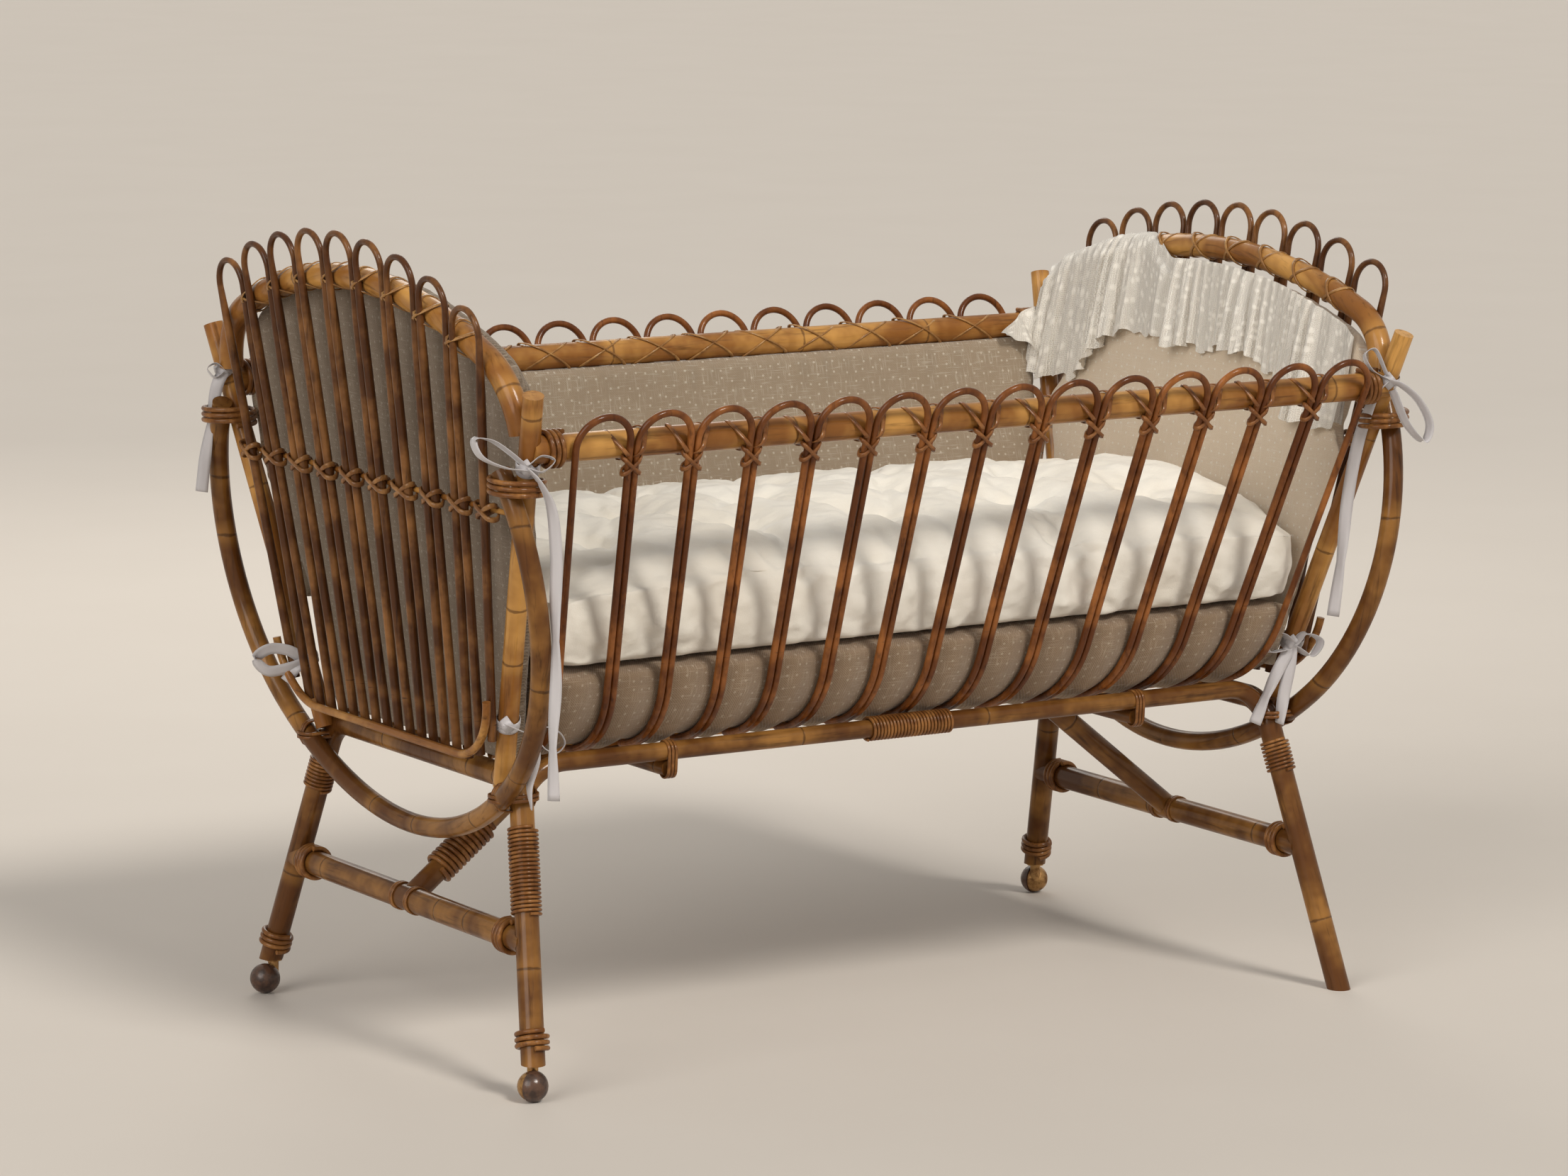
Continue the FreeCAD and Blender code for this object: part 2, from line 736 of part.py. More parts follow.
def arch_height(y, depth):
    """The height of an arch's axis at a place across the end."""
    half_span = size("arch_half_span")
    haunch = depth * ARCH_HAUNCH_share
    crown = (half_span ** 2 + depth ** 2 - 2 * half_span * haunch) / (2 * (depth - haunch))
    crown_z = arch_spring_z + depth - crown
    over = crown_z + math.sqrt(crown ** 2 - y ** 2)
    beside = abs(y) - (half_span - haunch)
    join_y = (half_span - haunch) * crown / math.hypot(half_span - haunch, arch_spring_z - crown_z)
    if abs(y) > join_y:
        over = arch_spring_z + math.sqrt(max(haunch ** 2 - beside ** 2, 0))
    return over


def bow_axis_height(y):
    """The height of the bow under the end canes, which rises towards the posts."""
    beyond = max(abs(y) - (size("bow_half_width") - size("bow_bend_radius")), 0)
    bend = size("bow_bend_radius")
    return size("bow_height") + bend - math.sqrt(bend ** 2 - beyond ** 2)


def in_plane(height):
    """A height as it measures along the leaning end, counted from the arch's springing."""
    return arch_spring_z + (height - arch_spring_z) / end_up.z


def on_panel(point):
    """A point of the end canes' plane, by its place across and its height along the lean."""
    return on_end(point.x, arch_spring_z, end_offset) + end_up * (point.y - arch_spring_z)


def end_hairpin(y, rise):
    """One bent cane of an end: a thin loop over the arch, and legs that grow thicker below it."""
    radius = (size("end_loop_pitch") - size("end_pair_spacing")) / 2
    top = Vector(y, arch_height(y, rise) + size("end_loop_lift"), 0)
    foot = Vector(y * END_CANE_FOOT_share, in_plane(size("bow_height")), 0)
    legs, crown = hairpin_legs(top, foot, radius, size("end_loop_pitch") * END_CANE_FOOT_share / 4)
    ends = []
    pieces = []
    for touch, heading in legs:
        low = touch + heading * ((touch.y - foot.y) / -heading.y)
        foot_z = in_plane(bow_axis_height(low.x) - size("end_cane_foot_drop"))
        low = touch + heading * ((touch.y - foot_z) / -heading.y)
        start = on_panel(touch)
        run = on_panel(low) - start
        length = run.Length
        taper = size("end_cane_taper")
        run.normalize()
        pieces.append(Part.makeCone(half("end_loop_diameter"), end_radius, taper, start, run))
        pieces.append(Part.makeCylinder(end_radius, length - taper, start + run * taper, run))
        ends.append(start)
    over = arc(ends[0], on_panel(crown), ends[1])
    return cane([over], size("end_loop_diameter")).multiFuse(pieces).Solids[0]


for end, sign in ENDS.items():
    end_canes = [
        end_hairpin((index - (END_LOOPS - 1) / 2) * size("end_loop_pitch"), arch_rises[end])
        for index in range(END_LOOPS)
    ]
    feature(f"{end}_end_canes", end_canes, Placement() if sign > 0 else half_turned(Placement()))

# A thin bow holds the feet of the end canes from outside

bow_offset = end_offset + end_radius + clearance + half("bow_diameter")
bow_z = size("bow_height")
bow_bend = size("bow_bend_radius")
bow_turn = math.acos(1 - min((size("bow_end_height") - bow_z) / bow_bend, 1))
bow_flat = size("bow_half_width") - bow_bend


def bow_point(sense, turn):
    """A point of the bow's upturned end."""
    y = sense * (bow_flat + bow_bend * math.sin(turn))
    return on_end(y, bow_z, bow_offset) + end_up * (bow_bend * (1 - math.cos(turn)))


bow_edges = [
    arc(bow_point(-1, bow_turn), bow_point(-1, bow_turn / 2), bow_point(-1, 0)),
    line(bow_point(-1, 0), bow_point(1, 0)),
    arc(bow_point(1, 0), bow_point(1, bow_turn / 2), bow_point(1, bow_turn)),
]
weaver_z = post_cross - size("weaver_drop")
weaver_offset = end_offset - end_radius - clearance - half("weaver_diameter")
weaver_y = on_post(weaver_z).y - half("post_diameter") - clearance
for end, sign in ENDS.items():
    keep(bent_pole(f"{end}_bow_pole", turned_edges(bow_edges, sign), "bow_diameter"), f"{end}_end_bow")
    turn = Rotation(UP, 0 if sign > 0 else 180)
    ends = [turn.multVec(on_end(side * weaver_y, weaver_z, weaver_offset)) for side in (-1, 1)]
    keep(pole(f"{end}_weaver_pole", *ends, "weaver_diameter"), f"{end}_weaver")

feature("joint_nails", [
    Part.makeCylinder(half("nail_diameter"), (tip - head).Length, head, tip - head)
    for head, tip in nail_ends
])


# Bindings: each is one unbroken cane wound round a joint

def biarc(start, start_heading, end, end_heading):
    """Two arcs that join two points with given headings."""
    chord = end - start
    both = start_heading + end_heading
    bend = 2 * (start_heading.dot(end_heading) - 1)
    middle = chord.dot(both)
    reach = chord.dot(chord) / (2 * middle)
    if abs(bend) > 1e-9:
        reach = (middle - math.sqrt(middle ** 2 - bend * chord.dot(chord))) / bend
    first = start + start_heading * reach
    second = end - end_heading * reach
    joint = (first + second) / 2
    return [rounded(start, first, joint), rounded(joint, second, end)]


def rounded(start, corner_point, end):
    """The arc from start to end that is tangent to both arms of a corner."""
    middle = (start + end) / 2
    rise = (corner_point - middle).Length
    chord = (end - start).Length / 2
    sag = chord * math.tan(math.atan2(rise, chord) / 2)
    return arc(start, middle + (corner_point - middle) * (sag / rise), end)


def winding(middle, axis, radius, pitch, turns, diameter, start_direction=None, hand=1):
    """A helical binding about an axis, centred on a point, with straight ends."""
    axis = Vector(axis).normalize()
    across = start_direction or axis.cross(UP if abs(axis.dot(UP)) < 0.9 else ALONG)
    across = (across - axis * across.dot(axis)).normalize()
    third = axis.cross(across) * hand
    quarters = round(turns * 4)
    rise = pitch / (2 * math.pi * radius)

    def at(quarter):
        angle = quarter * math.pi / 2
        spoke = across * math.cos(angle) + third * math.sin(angle)
        place = middle + spoke * radius + axis * ((quarter - quarters / 2) * pitch / 4)
        heading = (third * math.cos(angle) - across * math.sin(angle) + axis * rise).normalize()
        return place, heading

    stations = [at(quarter) for quarter in range(quarters + 1)]
    edges = [line(stations[0][0] - stations[0][1] * diameter, stations[0][0])]
    for (start, start_heading), (end, end_heading) in zip(stations, stations[1:]):
        edges.extend(biarc(start, start_heading, end, end_heading))
    edges.append(line(stations[-1][0], stations[-1][0] + stations[-1][1] * diameter))
    return cane(edges, diameter), least_gap(edges, diameter)


def least_gap(edges, diameter):
    """The least gap between neighbouring turns, measured on points along the path."""
    points = []
    for edge in edges:
        points.extend(edge.discretize(Number=5)[:-1])
    travel = [0]
    for one, other in zip(points, points[1:]):
        travel.append(travel[-1] + (other - one).Length)
    least = math.inf
    for index, point in enumerate(points):
        for later in range(index + 1, len(points)):
            if travel[later] - travel[index] > math.pi * diameter:
                least = min(least, (points[later] - point).Length)
    return least - diameter


def bindings(label, windings):
    """A group of bindings, with the least gap of each kind printed."""
    print(f"{label}: least gap of a binding to itself {min(gap for _, gap in windings):.2f} mm")
    return feature(label, [solid for solid, _ in windings])


binding = size("binding_diameter")
pitch = size("binding_pitch")
twine = size("twine_diameter")


def around(diameter, tube):
    """The radius of a tube's centre line round a pole."""
    return half(diameter) + clearance + tube / 2


rail_wraps = []
post_wraps = []
leg_wraps = []
bar_wraps = []
foot_wraps = []
for name, signs in CORNERS.items():
    wrap_turns = 3
    wrap_x = rail_end.x - half("post_diameter") - clearance - (wrap_turns + 1) * pitch / 2 - binding / 2
    rail_wraps.append(winding(
        corner(Vector(wrap_x, rail_end.y, rail_end.z), signs), ALONG,
        around("top_rail_diameter", binding), pitch, wrap_turns, binding, UP,
    ))
    joint = (on_post(post_cross) + on_hoop(on_post(post_cross).y, post_cross)) / 2
    reach = half("post_diameter") + half("hoop_diameter") + clearance * 2
    reach += binding / 2 + size("lashing_spread")
    lashing_inner_x = joint.x - reach - binding / 2
    post_wraps.append(winding(
        corner(joint, signs), UP, reach, pitch, 3, binding, ACROSS * -signs[1], -signs[0] * signs[1],
    ))
    bar_y = bar_end.y - half("trestle_diameter") - binding * BAR_BINDING_share
    bar_wraps.append(winding(
        corner(Vector(bar_end.x, bar_y, bar_end.z), signs), ACROSS,
        around("crossbar_diameter", binding), pitch, 3, binding, UP,
    ))
    if name in CASTERS:
        foot_wraps.append(winding(
            corner(on_leg(leg_end + half("trestle_diameter") + binding * 2), signs),
            corner(leg_direction, signs), around("trestle_diameter", binding), pitch, 3, binding,
        ))
bindings("rail_end_bindings", rail_wraps)
bindings("hoop_top_bindings", post_wraps)
bindings("crossbar_bindings", bar_wraps)
bindings("foot_bindings", foot_wraps)


# Longer bindings: on the legs under the hoop, along the left brace and at the middle of each bottom rail

leg_turns = {"near_left": 21, "far_left": 8, "near_right": 8, "far_right": 8}
for name, turns in leg_turns.items():
    signs = CORNERS[name]
    top = leg_cross - half("hoop_diameter") - half("trestle_diameter")
    middle_z = top - turns * size("twine_pitch") / 2
    leg_wraps.append(winding(
        corner(on_leg(middle_z), signs), corner(leg_direction, signs),
        around("trestle_diameter", twine), size("twine_pitch"), turns, twine,
    ))
bindings("leg_bindings", leg_wraps)
brace_low = Vector(-bar_end.x, 0, bar_end.z)
brace_high = Vector(-bearer_x, 0, bearer_z)
bindings("brace_binding", [winding(
    brace_low + (brace_high - brace_low) * BRACE_BINDING_share, brace_high - brace_low,
    around("brace_diameter", binding), pitch, 12, binding,
)])
bindings("rail_splice_bindings", [
    winding(
        Vector(0, sign * bottom_rail_y, bottom_rail_z), ALONG,
        around("bottom_rail_diameter", twine), size("twine_pitch"), 24, twine, UP * -1,
    )
    for sign in SIDES.values()
])

# Casters: a brass sleeve in the leg, a hood on its stem, an axle and a half-ball wheel


def plane_of(body, role):
    """One of a body's own origin planes."""
    return next(item for item in body.Origin.OriginFeatures if item.Role == role)


def sketch_on(body, name, role):
    """An empty sketch on one of the body's planes."""
    sketch = body.newObject("Sketcher::SketchObject", name)
    sketch.AttachmentSupport = (plane_of(body, role), [""])
    sketch.MapMode = "FlatFace"
    return sketch


def pin(sketch, geometry, end, x, y):
    """Fixes a sketch point by expressions; None leaves a place free, 0 puts it on an axis."""
    for kind, axis, text in (("DistanceX", -2, x), ("DistanceY", -1, y)):
        if text is None:
            continue
        if text == "0":
            sketch.addConstraint(Sketcher.Constraint("PointOnObject", geometry, end, axis))
            continue
        number = sheet.evalExpression(text)
        index = sketch.addConstraint(Sketcher.Constraint(kind, -1, 1, geometry, end, number))
        sketch.setExpression(f"Constraints[{index}]", text)


def turned(label, corners_of, dome=None, dome_radius=None):
    """A closed half section spun about local Z; one side may be a dome about the origin."""
    body = doc.addObject("PartDesign::Body", label)
    sketch = sketch_on(body, label + "_section", "XZ_Plane")
    points = []
    for index, (x, y) in enumerate(corners_of):
        radius = sheet.evalExpression(dome_radius) if dome_radius else 0
        down = sheet.evalExpression(y) if y else radius
        across = sheet.evalExpression(x) if x else math.sqrt(radius ** 2 - down ** 2)
        points.append(Vector(across, down, 0))
    count = len(points)
    for index, start in enumerate(points):
        end = points[(index + 1) % count]
        if index == dome:
            circle = Part.Circle(Vector(), UP, start.Length)
            sketch.addGeometry(Part.ArcOfCircle(circle, math.atan2(start.y, start.x), math.pi / 2), False)
        else:
            sketch.addGeometry(Part.LineSegment(start, end), False)
    for index in range(count):
        sketch.addConstraint(Sketcher.Constraint("Coincident", index, 2, (index + 1) % count, 1))
        pin(sketch, index, 1, *corners_of[index])
    if dome is not None:
        sketch.addConstraint(Sketcher.Constraint("Coincident", dome, 3, -1, 1))
        ring = sketch.addConstraint(Sketcher.Constraint("Radius", dome, sheet.evalExpression(dome_radius)))
        sketch.setExpression(f"Constraints[{ring}]", dome_radius)
    spin = body.newObject("PartDesign::Revolution", label + "_turned")
    spin.Profile = sketch
    spin.ReferenceAxis = (sketch, ["V_Axis"])
    spin.Angle = 360
    return body


def round_pad(body, name, x, y, radius, length):
    """A round boss that stands up along local Y from the XZ plane."""
    sketch = sketch_on(body, name, "XZ_Plane")
    middle = Vector(sheet.evalExpression(x), sheet.evalExpression(y), 0)
    circle = Part.Circle(middle, UP, sheet.evalExpression(radius))
    sketch.addGeometry(circle, False)
    pin(sketch, 0, 3, x, y)
    ring = sketch.addConstraint(Sketcher.Constraint("Radius", 0, sheet.evalExpression(radius)))
    sketch.setExpression(f"Constraints[{ring}]", radius)
    pad = body.newObject("PartDesign::Pad", name + "_boss")
    pad.Profile = sketch
    pad.setExpression("Length", length)
    pad.Reversed = True
    return pad


WHEEL = (
    ("Sizes.axle_diameter / 2 + Sizes.axle_slack", "Sizes.wheel_gap"),
    (None, "Sizes.wheel_gap"),
    ("0", None),
    ("0", "Sizes.wheel_bore_depth"),
    ("Sizes.axle_diameter / 2 + Sizes.axle_slack", "Sizes.wheel_bore_depth"),
)
HOOD = (
    ("Sizes.axle_diameter / 2 + Sizes.axle_press_slack", "Sizes.wheel_gap"),
    (None, "Sizes.wheel_gap"),
    ("0", None),
    ("0", "Sizes.hood_bore_depth"),
    ("Sizes.axle_diameter / 2 + Sizes.axle_press_slack", "Sizes.hood_bore_depth"),
)
SLEEVE = (
    ("Sizes.stem_diameter / 2 + Sizes.axle_slack", "0"),
    ("Sizes.flange_diameter / 2", "0"),
    ("Sizes.flange_diameter / 2", "Sizes.flange_thickness"),
    ("Sizes.sleeve_diameter / 2", "Sizes.flange_thickness"),
    ("Sizes.sleeve_diameter / 2", "Sizes.flange_thickness + Sizes.sleeve_length"),
    ("Sizes.stem_diameter / 2 + Sizes.axle_slack", "Sizes.flange_thickness + Sizes.sleeve_length"),
)
collar_top = "Sizes.caster_leg_height - Sizes.flange_thickness - Sizes.swivel_gap - Sizes.wheel_radius"
for name, heading in CASTERS.items():
    foot = corner(stem_axis, CORNERS[name])
    foot.z = 0
    stand = Placement(foot, Rotation(UP, heading))
    sleeve = turned(f"{name}_caster_sleeve", SLEEVE)
    sleeve.Placement = Placement(Vector(foot.x, foot.y, leg_end - size("flange_thickness")), Rotation())
    keep(sleeve, f"{name}_caster_sleeve")
    ball = Vector(size("caster_trail"), size("caster_side_offset"), size("wheel_radius"))
    wheel = turned(f"{name}_caster_wheel", WHEEL, 1, "Sizes.wheel_radius")
    wheel.Placement = stand.multiply(Placement(ball, Rotation(ALONG, -90)))
    keep(wheel, f"{name}_caster_wheel")
    hood = turned(f"{name}_caster_hood", HOOD, 1, "Sizes.hood_radius")
    offset = ("-Sizes.caster_trail", "Sizes.caster_side_offset")
    round_pad(hood, f"{name}_collar", *offset, "Sizes.collar_diameter / 2", collar_top)
    round_pad(hood, f"{name}_stem", *offset, "Sizes.stem_diameter / 2", f"{collar_top} + Sizes.stem_length")
    hood.Placement = stand.multiply(Placement(ball, Rotation(ALONG, 90)))
    keep(hood, f"{name}_caster_hood")
    axle_start = stand.multVec(ball - ACROSS * (size("hood_bore_depth") - clearance))
    axle_end = stand.multVec(ball + ACROSS * (size("wheel_bore_depth") - clearance))
    keep(pole(f"{name}_axle_pin", axle_start, axle_end, "axle_diameter"), f"{name}_caster_axle")

doc.recompute()

# Soft furnishings: the pad in the basket, the mattress on it, the bumpers and the lace

def loop_of(points_and_bulges):
    """A closed run of edges; each entry is a point and, for an arc, the point it passes through."""
    edges = []
    count = len(points_and_bulges)
    for index, (start, through) in enumerate(points_and_bulges):
        end = points_and_bulges[(index + 1) % count][0]
        edges.append(line(start, end) if through is None else arc(start, through, end))
    return edges


pad_bend = bend_radius - cane_radius - size("pad_gap")
bend_middle = on_side(0, bend_start, bend_radius)
pad_floor = max(floor_z + half("floor_cane_diameter") + clearance, bend_middle.z - pad_bend)
pad_side = bend_middle + side_out * pad_bend
pad_low_y = bend_middle.y + math.sqrt(max(pad_bend ** 2 - (bend_middle.z - pad_floor) ** 2, 0))
pad_low = Vector(0, pad_low_y, pad_floor)
pad_mid = bend_middle + (pad_side - bend_middle + pad_low - bend_middle).normalize() * pad_bend
pad_edge = size("pad_edge_radius")
pad_top = pad_side.z + size("pad_side_rise") + pad_edge


def pad_section(x, inset):
    """The pad's outline across the cradle, drawn in by an inset towards its ends."""
    top = pad_top - inset
    brow = pad_side - side_down * ((top - pad_edge - pad_side.z) / -side_down.z)
    right = [pad_low, pad_mid, pad_side, brow, Vector(0, brow.y - pad_edge, top)]
    cut = pad_edge * (1 - math.cos(math.pi / 4))
    shoulder_mid = Vector(0, brow.y - cut, top - cut)
    place = [Vector(x, point.y - inset, max(point.z, pad_floor + inset)) for point in right]
    soft = Vector(x, shoulder_mid.y - inset, shoulder_mid.z)
    left = [Vector(x, -point.y, point.z) for point in place]
    left_soft = Vector(x, -soft.y, soft.z)
    return loop_of([
        (place[0], place[1]), (place[2], None), (place[3], soft), (place[4], None),
        (left[4], left_soft), (left[3], None), (left[2], left[1]), (left[0], None),
    ])


def lofted(sections):
    """A solid through closed outlines, in order."""
    return Part.makeLoft([Part.Wire(edges) for edges in sections], True, False)


# The left bumper hangs inside its arch, the right one stands within its arch against the weaver
bumper_outs = {
    "left": -half("arch_diameter") - clearance,
    "right": weaver_offset - half("weaver_diameter") - clearance,
}
bumper_rooms = {
    end: (size("bumper_thickness") - out + clearance) / end_out.x for end, out in bumper_outs.items()
}
bumper_shift = (bumper_rooms["left"] - bumper_rooms["right"]) / 2
bumper_room = (bumper_rooms["left"] + bumper_rooms["right"]) / 2
pad_half = on_post(size("bumper_foot_height")).x - bumper_room
far_bumper_out = cane_offset - cane_radius - clearance
pad_inset = size("pad_end_inset")
pad_sections = [
    Part.Wire(pad_section(bumper_shift + side * (pad_half - back * pad_inset), inset * pad_inset))
    for side, back, inset in PAD_STATION_shares
]
feature("base_pad", [Part.makeLoft(pad_sections, True, True)])

# The mattress has a crown, sides drawn in at the middle and rows of tufts

mattress_floor = pad_top + size("mattress_gap")
mattress_edge_z = pad_top + size("mattress_edge_rise")


def side_plane_y(height):
    """The y of the plane through the far posts and top rail, at a height."""
    return on_post(height).y


floor_y = side_plane_y(mattress_floor)
near_edge = -(floor_y + (cane_offset - cane_radius) / side_out.y - size("mattress_side_gap"))
far_edge = floor_y - (size("bumper_thickness") - far_bumper_out + clearance) / side_out.y
mattress_y = (near_edge + far_edge) / 2
mattress_half = (far_edge - near_edge) / 2


def crown_height(y):
    """The top of the mattress at the middle of its length."""
    share = (y - mattress_y) / mattress_half
    return mattress_edge_z + size("mattress_crown") * (1 - share ** 2)


def mattress_section(x, draw, drop):
    """One outline across the mattress; draw pulls the sides in, drop lowers and lifts the edges."""
    width = mattress_half - draw - size("mattress_side_bulge")
    low = mattress_floor + drop
    high = mattress_edge_z - drop
    middle = (low + high) / 2
    bulge = width + size("mattress_side_bulge")
    return loop_of([
        (Vector(x, mattress_y - width, low), None),
        (Vector(x, mattress_y + width, low), Vector(x, mattress_y + bulge, middle)),
        (Vector(x, mattress_y + width, high), Vector(x, mattress_y, high + size("mattress_crown"))),
        (Vector(x, mattress_y - width, high), Vector(x, mattress_y - bulge, middle)),
    ])


mattress_length = on_post(mattress_floor).x - bumper_room - size("mattress_end_margin")


def stations(rows):
    """Outlines of the mattress at places along it."""
    draw_in = size("mattress_draw")
    return [
        mattress_section(bumper_shift + share * mattress_length, draw * draw_in, drop * draw_in)
        for share, draw, drop in rows
    ]


mattress = lofted(stations(MATTRESS_MIDDLE_shares))
for sense in (-1, 1):
    rows = [(sense * share, draw, drop) for share, draw, drop in MATTRESS_END_shares]
    mattress = mattress.fuse(Part.makeLoft([Part.Wire(edges) for edges in stations(rows)], True, True))
for column in TUFT_COLUMN_shares:
    for row in TUFT_ROW_shares:
        x = bumper_shift + column * mattress_length
        y = mattress_y + row * mattress_half
        centre = Vector(x, y, crown_height(y) + size("tuft_radius") - size("tuft_depth"))
        mattress = mattress.cut(Part.makeSphere(size("tuft_radius"), centre))
feature("mattress", [mattress.Solids[0] if mattress.Solids else mattress])


# Bumpers hang inside the far side and both ends

def slab(face, direction, label, placement=Placement()):
    """A padded panel: a flat outline given its thickness, with softened rims."""
    solid = face.extrude(direction * size("bumper_thickness"))
    return feature(label, [solid.makeFillet(size("bumper_edge_radius"), solid.Edges)], placement)


def side_inside(x, height, inside):
    """A point by its place along the far side, its height and its distance inside the posts' plane."""
    return Vector(x, side_plane_y(height), height) - side_out * inside


far_low = pad_top + size("far_bumper_foot_rise")
rail_keep = half("top_rail_diameter") + binding + clearance * 2
far_high = top_rail_z - rail_keep * -side_down.z
post_keep = on_post(post_cross).x - lashing_inner_x + size("bumper_margin")
far_low_x = on_post(far_low).x - post_keep
far_high_x = on_post(far_high).x - post_keep
far_face = Part.Face(Part.makePolygon([
    side_inside(x, height, -far_bumper_out) for x, height in (
        (-far_low_x, far_low), (far_low_x, far_low), (far_high_x, far_high), (-far_high_x, far_high),
        (-far_low_x, far_low),
    )
]))
slab(far_face, side_out * -1, "far_bumper")

end_low = size("bumper_foot_height")
end_high = arch_spring_z
rail_side_keep = (half("top_rail_diameter") + binding + clearance * 2 + size("bumper_margin")) / side_out.y
bumper_high_y = side_plane_y(end_high) - rail_side_keep
bumper_low_y = side_plane_y(end_low) - rail_side_keep
within = half("arch_diameter") + size("bumper_margin")
waist_y = on_post(post_cross).y - size("bumper_lashing_keep")
waist_z = post_cross + size("bumper_lashing_rise")
bumper_tops = {
    "left": (bumper_high_y, size("bumper_arch_overlap")),
    "right": (size("arch_half_span") - within, -within),
}
for end, (top_y, spread) in bumper_tops.items():
    def inside_end(y, height):
        """A point of the end bumper's outer face."""
        return on_end(y, height, bumper_outs[end])

    end_top = three_centred(
        top_y, end_high, arch_rises[end] + spread, arch_rises[end] * ARCH_HAUNCH_share + spread, end_high,
        inside_end,
    )
    corners = [(top_y, end_high), (waist_y, waist_z), (bumper_low_y, end_low)]
    if end == "left":
        corners.pop(1)
    corners += [(-y, height) for y, height in corners[::-1]]
    places = [inside_end(y, height) for y, height in corners]
    end_outline = [line(start, stop) for start, stop in zip(places, places[1:])]
    end_face = Part.Face(Part.Wire(Part.__sortEdges__(end_top + end_outline)))
    slab(end_face, end_out * -1, f"{end}_bumper", Placement() if end == "right" else half_turned(Placement()))

# Lace in upright folds hangs from the right arch over the bumper

lace_t = size("lace_thickness") / 2
fold_run = size("lace_fold_width")
fold_sag = size("lace_fold_depth")
fold_radius = (fold_run ** 2 / 4 + fold_sag ** 2) / (2 * fold_sag)
fold_turn = math.asin(fold_run / 2 / fold_radius)
lace_folds = int(size("lace_half_width") * 2 / fold_run)
lace_middle = size("bumper_thickness") - bumper_outs["right"] + size("lace_gap") + fold_sag + lace_t
lace_low = post_top.z - size("lace_foot_drop")
lace_top = arch_spring_z + arch_rises["right"]


def lace_point(y, inside):
    return on_end(y, lace_low - fold_run, -lace_middle - inside)


def fold_edge(offset, backwards):
    """One face of the folded sheet, as a run of arcs that bend in turn."""
    edges = []
    for index in range(lace_folds):
        sense = 1 if index % 2 else -1
        start = (index - lace_folds / 2) * fold_run
        radius = fold_radius + sense * offset
        middle = start + fold_run / 2
        hub = sense * (fold_sag - fold_radius)
        places = [
            lace_point(middle + radius * math.sin(turn), hub + sense * radius * math.cos(turn))
            for turn in (-fold_turn, 0, fold_turn)
        ]
        edges.append(arc(*places))
    return edges


front = fold_edge(lace_t, False)
back = fold_edge(-lace_t, True)
closers = [
    line(front[-1].Vertexes[-1].Point, back[-1].Vertexes[-1].Point),
    line(front[0].Vertexes[0].Point, back[0].Vertexes[0].Point),
]
folded = Part.Face(Part.Wire(Part.__sortEdges__(front + back + closers)))
curtain = folded.extrude(end_up * (lace_top - lace_low + fold_run * 2))


def lace_place(y, height):
    return on_end(y, height, -lace_middle * 2)


lace_edge = size("lace_half_width")
lace_spring = end_high
lace_keep = size("lace_top_margin")
lace_rise = arch_rises["right"] - lace_keep
lace_arch = three_centred(
    lace_edge, lace_spring, lace_rise, lace_rise * ARCH_HAUNCH_share, lace_spring, lace_place,
)
hem = []
for index in range(LACE_SCALLOPS):
    start = -lace_edge + index * lace_edge * 2 / LACE_SCALLOPS
    end = start + lace_edge * 2 / LACE_SCALLOPS

    def hem_z(y):
        share = abs(y) / lace_edge
        return lace_low + (lace_spring - lace_low) * share ** 2 * LACE_SIDE_RISE_share

    low = (hem_z(start) + hem_z(end)) / 2 - size("lace_scallop")
    hem.append(arc(
        lace_place(start, hem_z(start)), lace_place((start + end) / 2, low), lace_place(end, hem_z(end)),
    ))
sides = [
    line(lace_place(side * lace_edge, lace_spring), lace_place(side * lace_edge, hem_z(lace_edge)))
    for side in (1, -1)
]
shape_of_lace = Part.Face(Part.Wire(Part.__sortEdges__(lace_arch + hem + sides)))
lace = curtain.common(shape_of_lace.extrude(end_out * lace_middle * 2))
lace_solids = sorted(lace.Solids, key=lambda solid: solid.Volume)
feature("lace_trim", [lace_solids[-1]])

# Ribbon ties: a band round the post, a knot, two loops and two tails


def band(points, width_direction, width):
    """A flat strip: a thin outline through points, given its width."""
    thick = size("tie_thickness") / 2
    sides = []
    for sense in (1, -1):
        run = []
        for index, point in enumerate(points):
            before = points[max(index - 1, 0)]
            after = points[min(index + 1, len(points) - 1)]
            across = (after - before).cross(width_direction).normalize()
            run.append(point + across * (sense * thick))
        sides.append(run)
    outline = sides[0] + sides[1][::-1] + [sides[0][0]]
    face = Part.Face(Part.makePolygon(outline))
    solid = face.extrude(width_direction * width)
    solid.translate(width_direction * (-width / 2))
    return solid


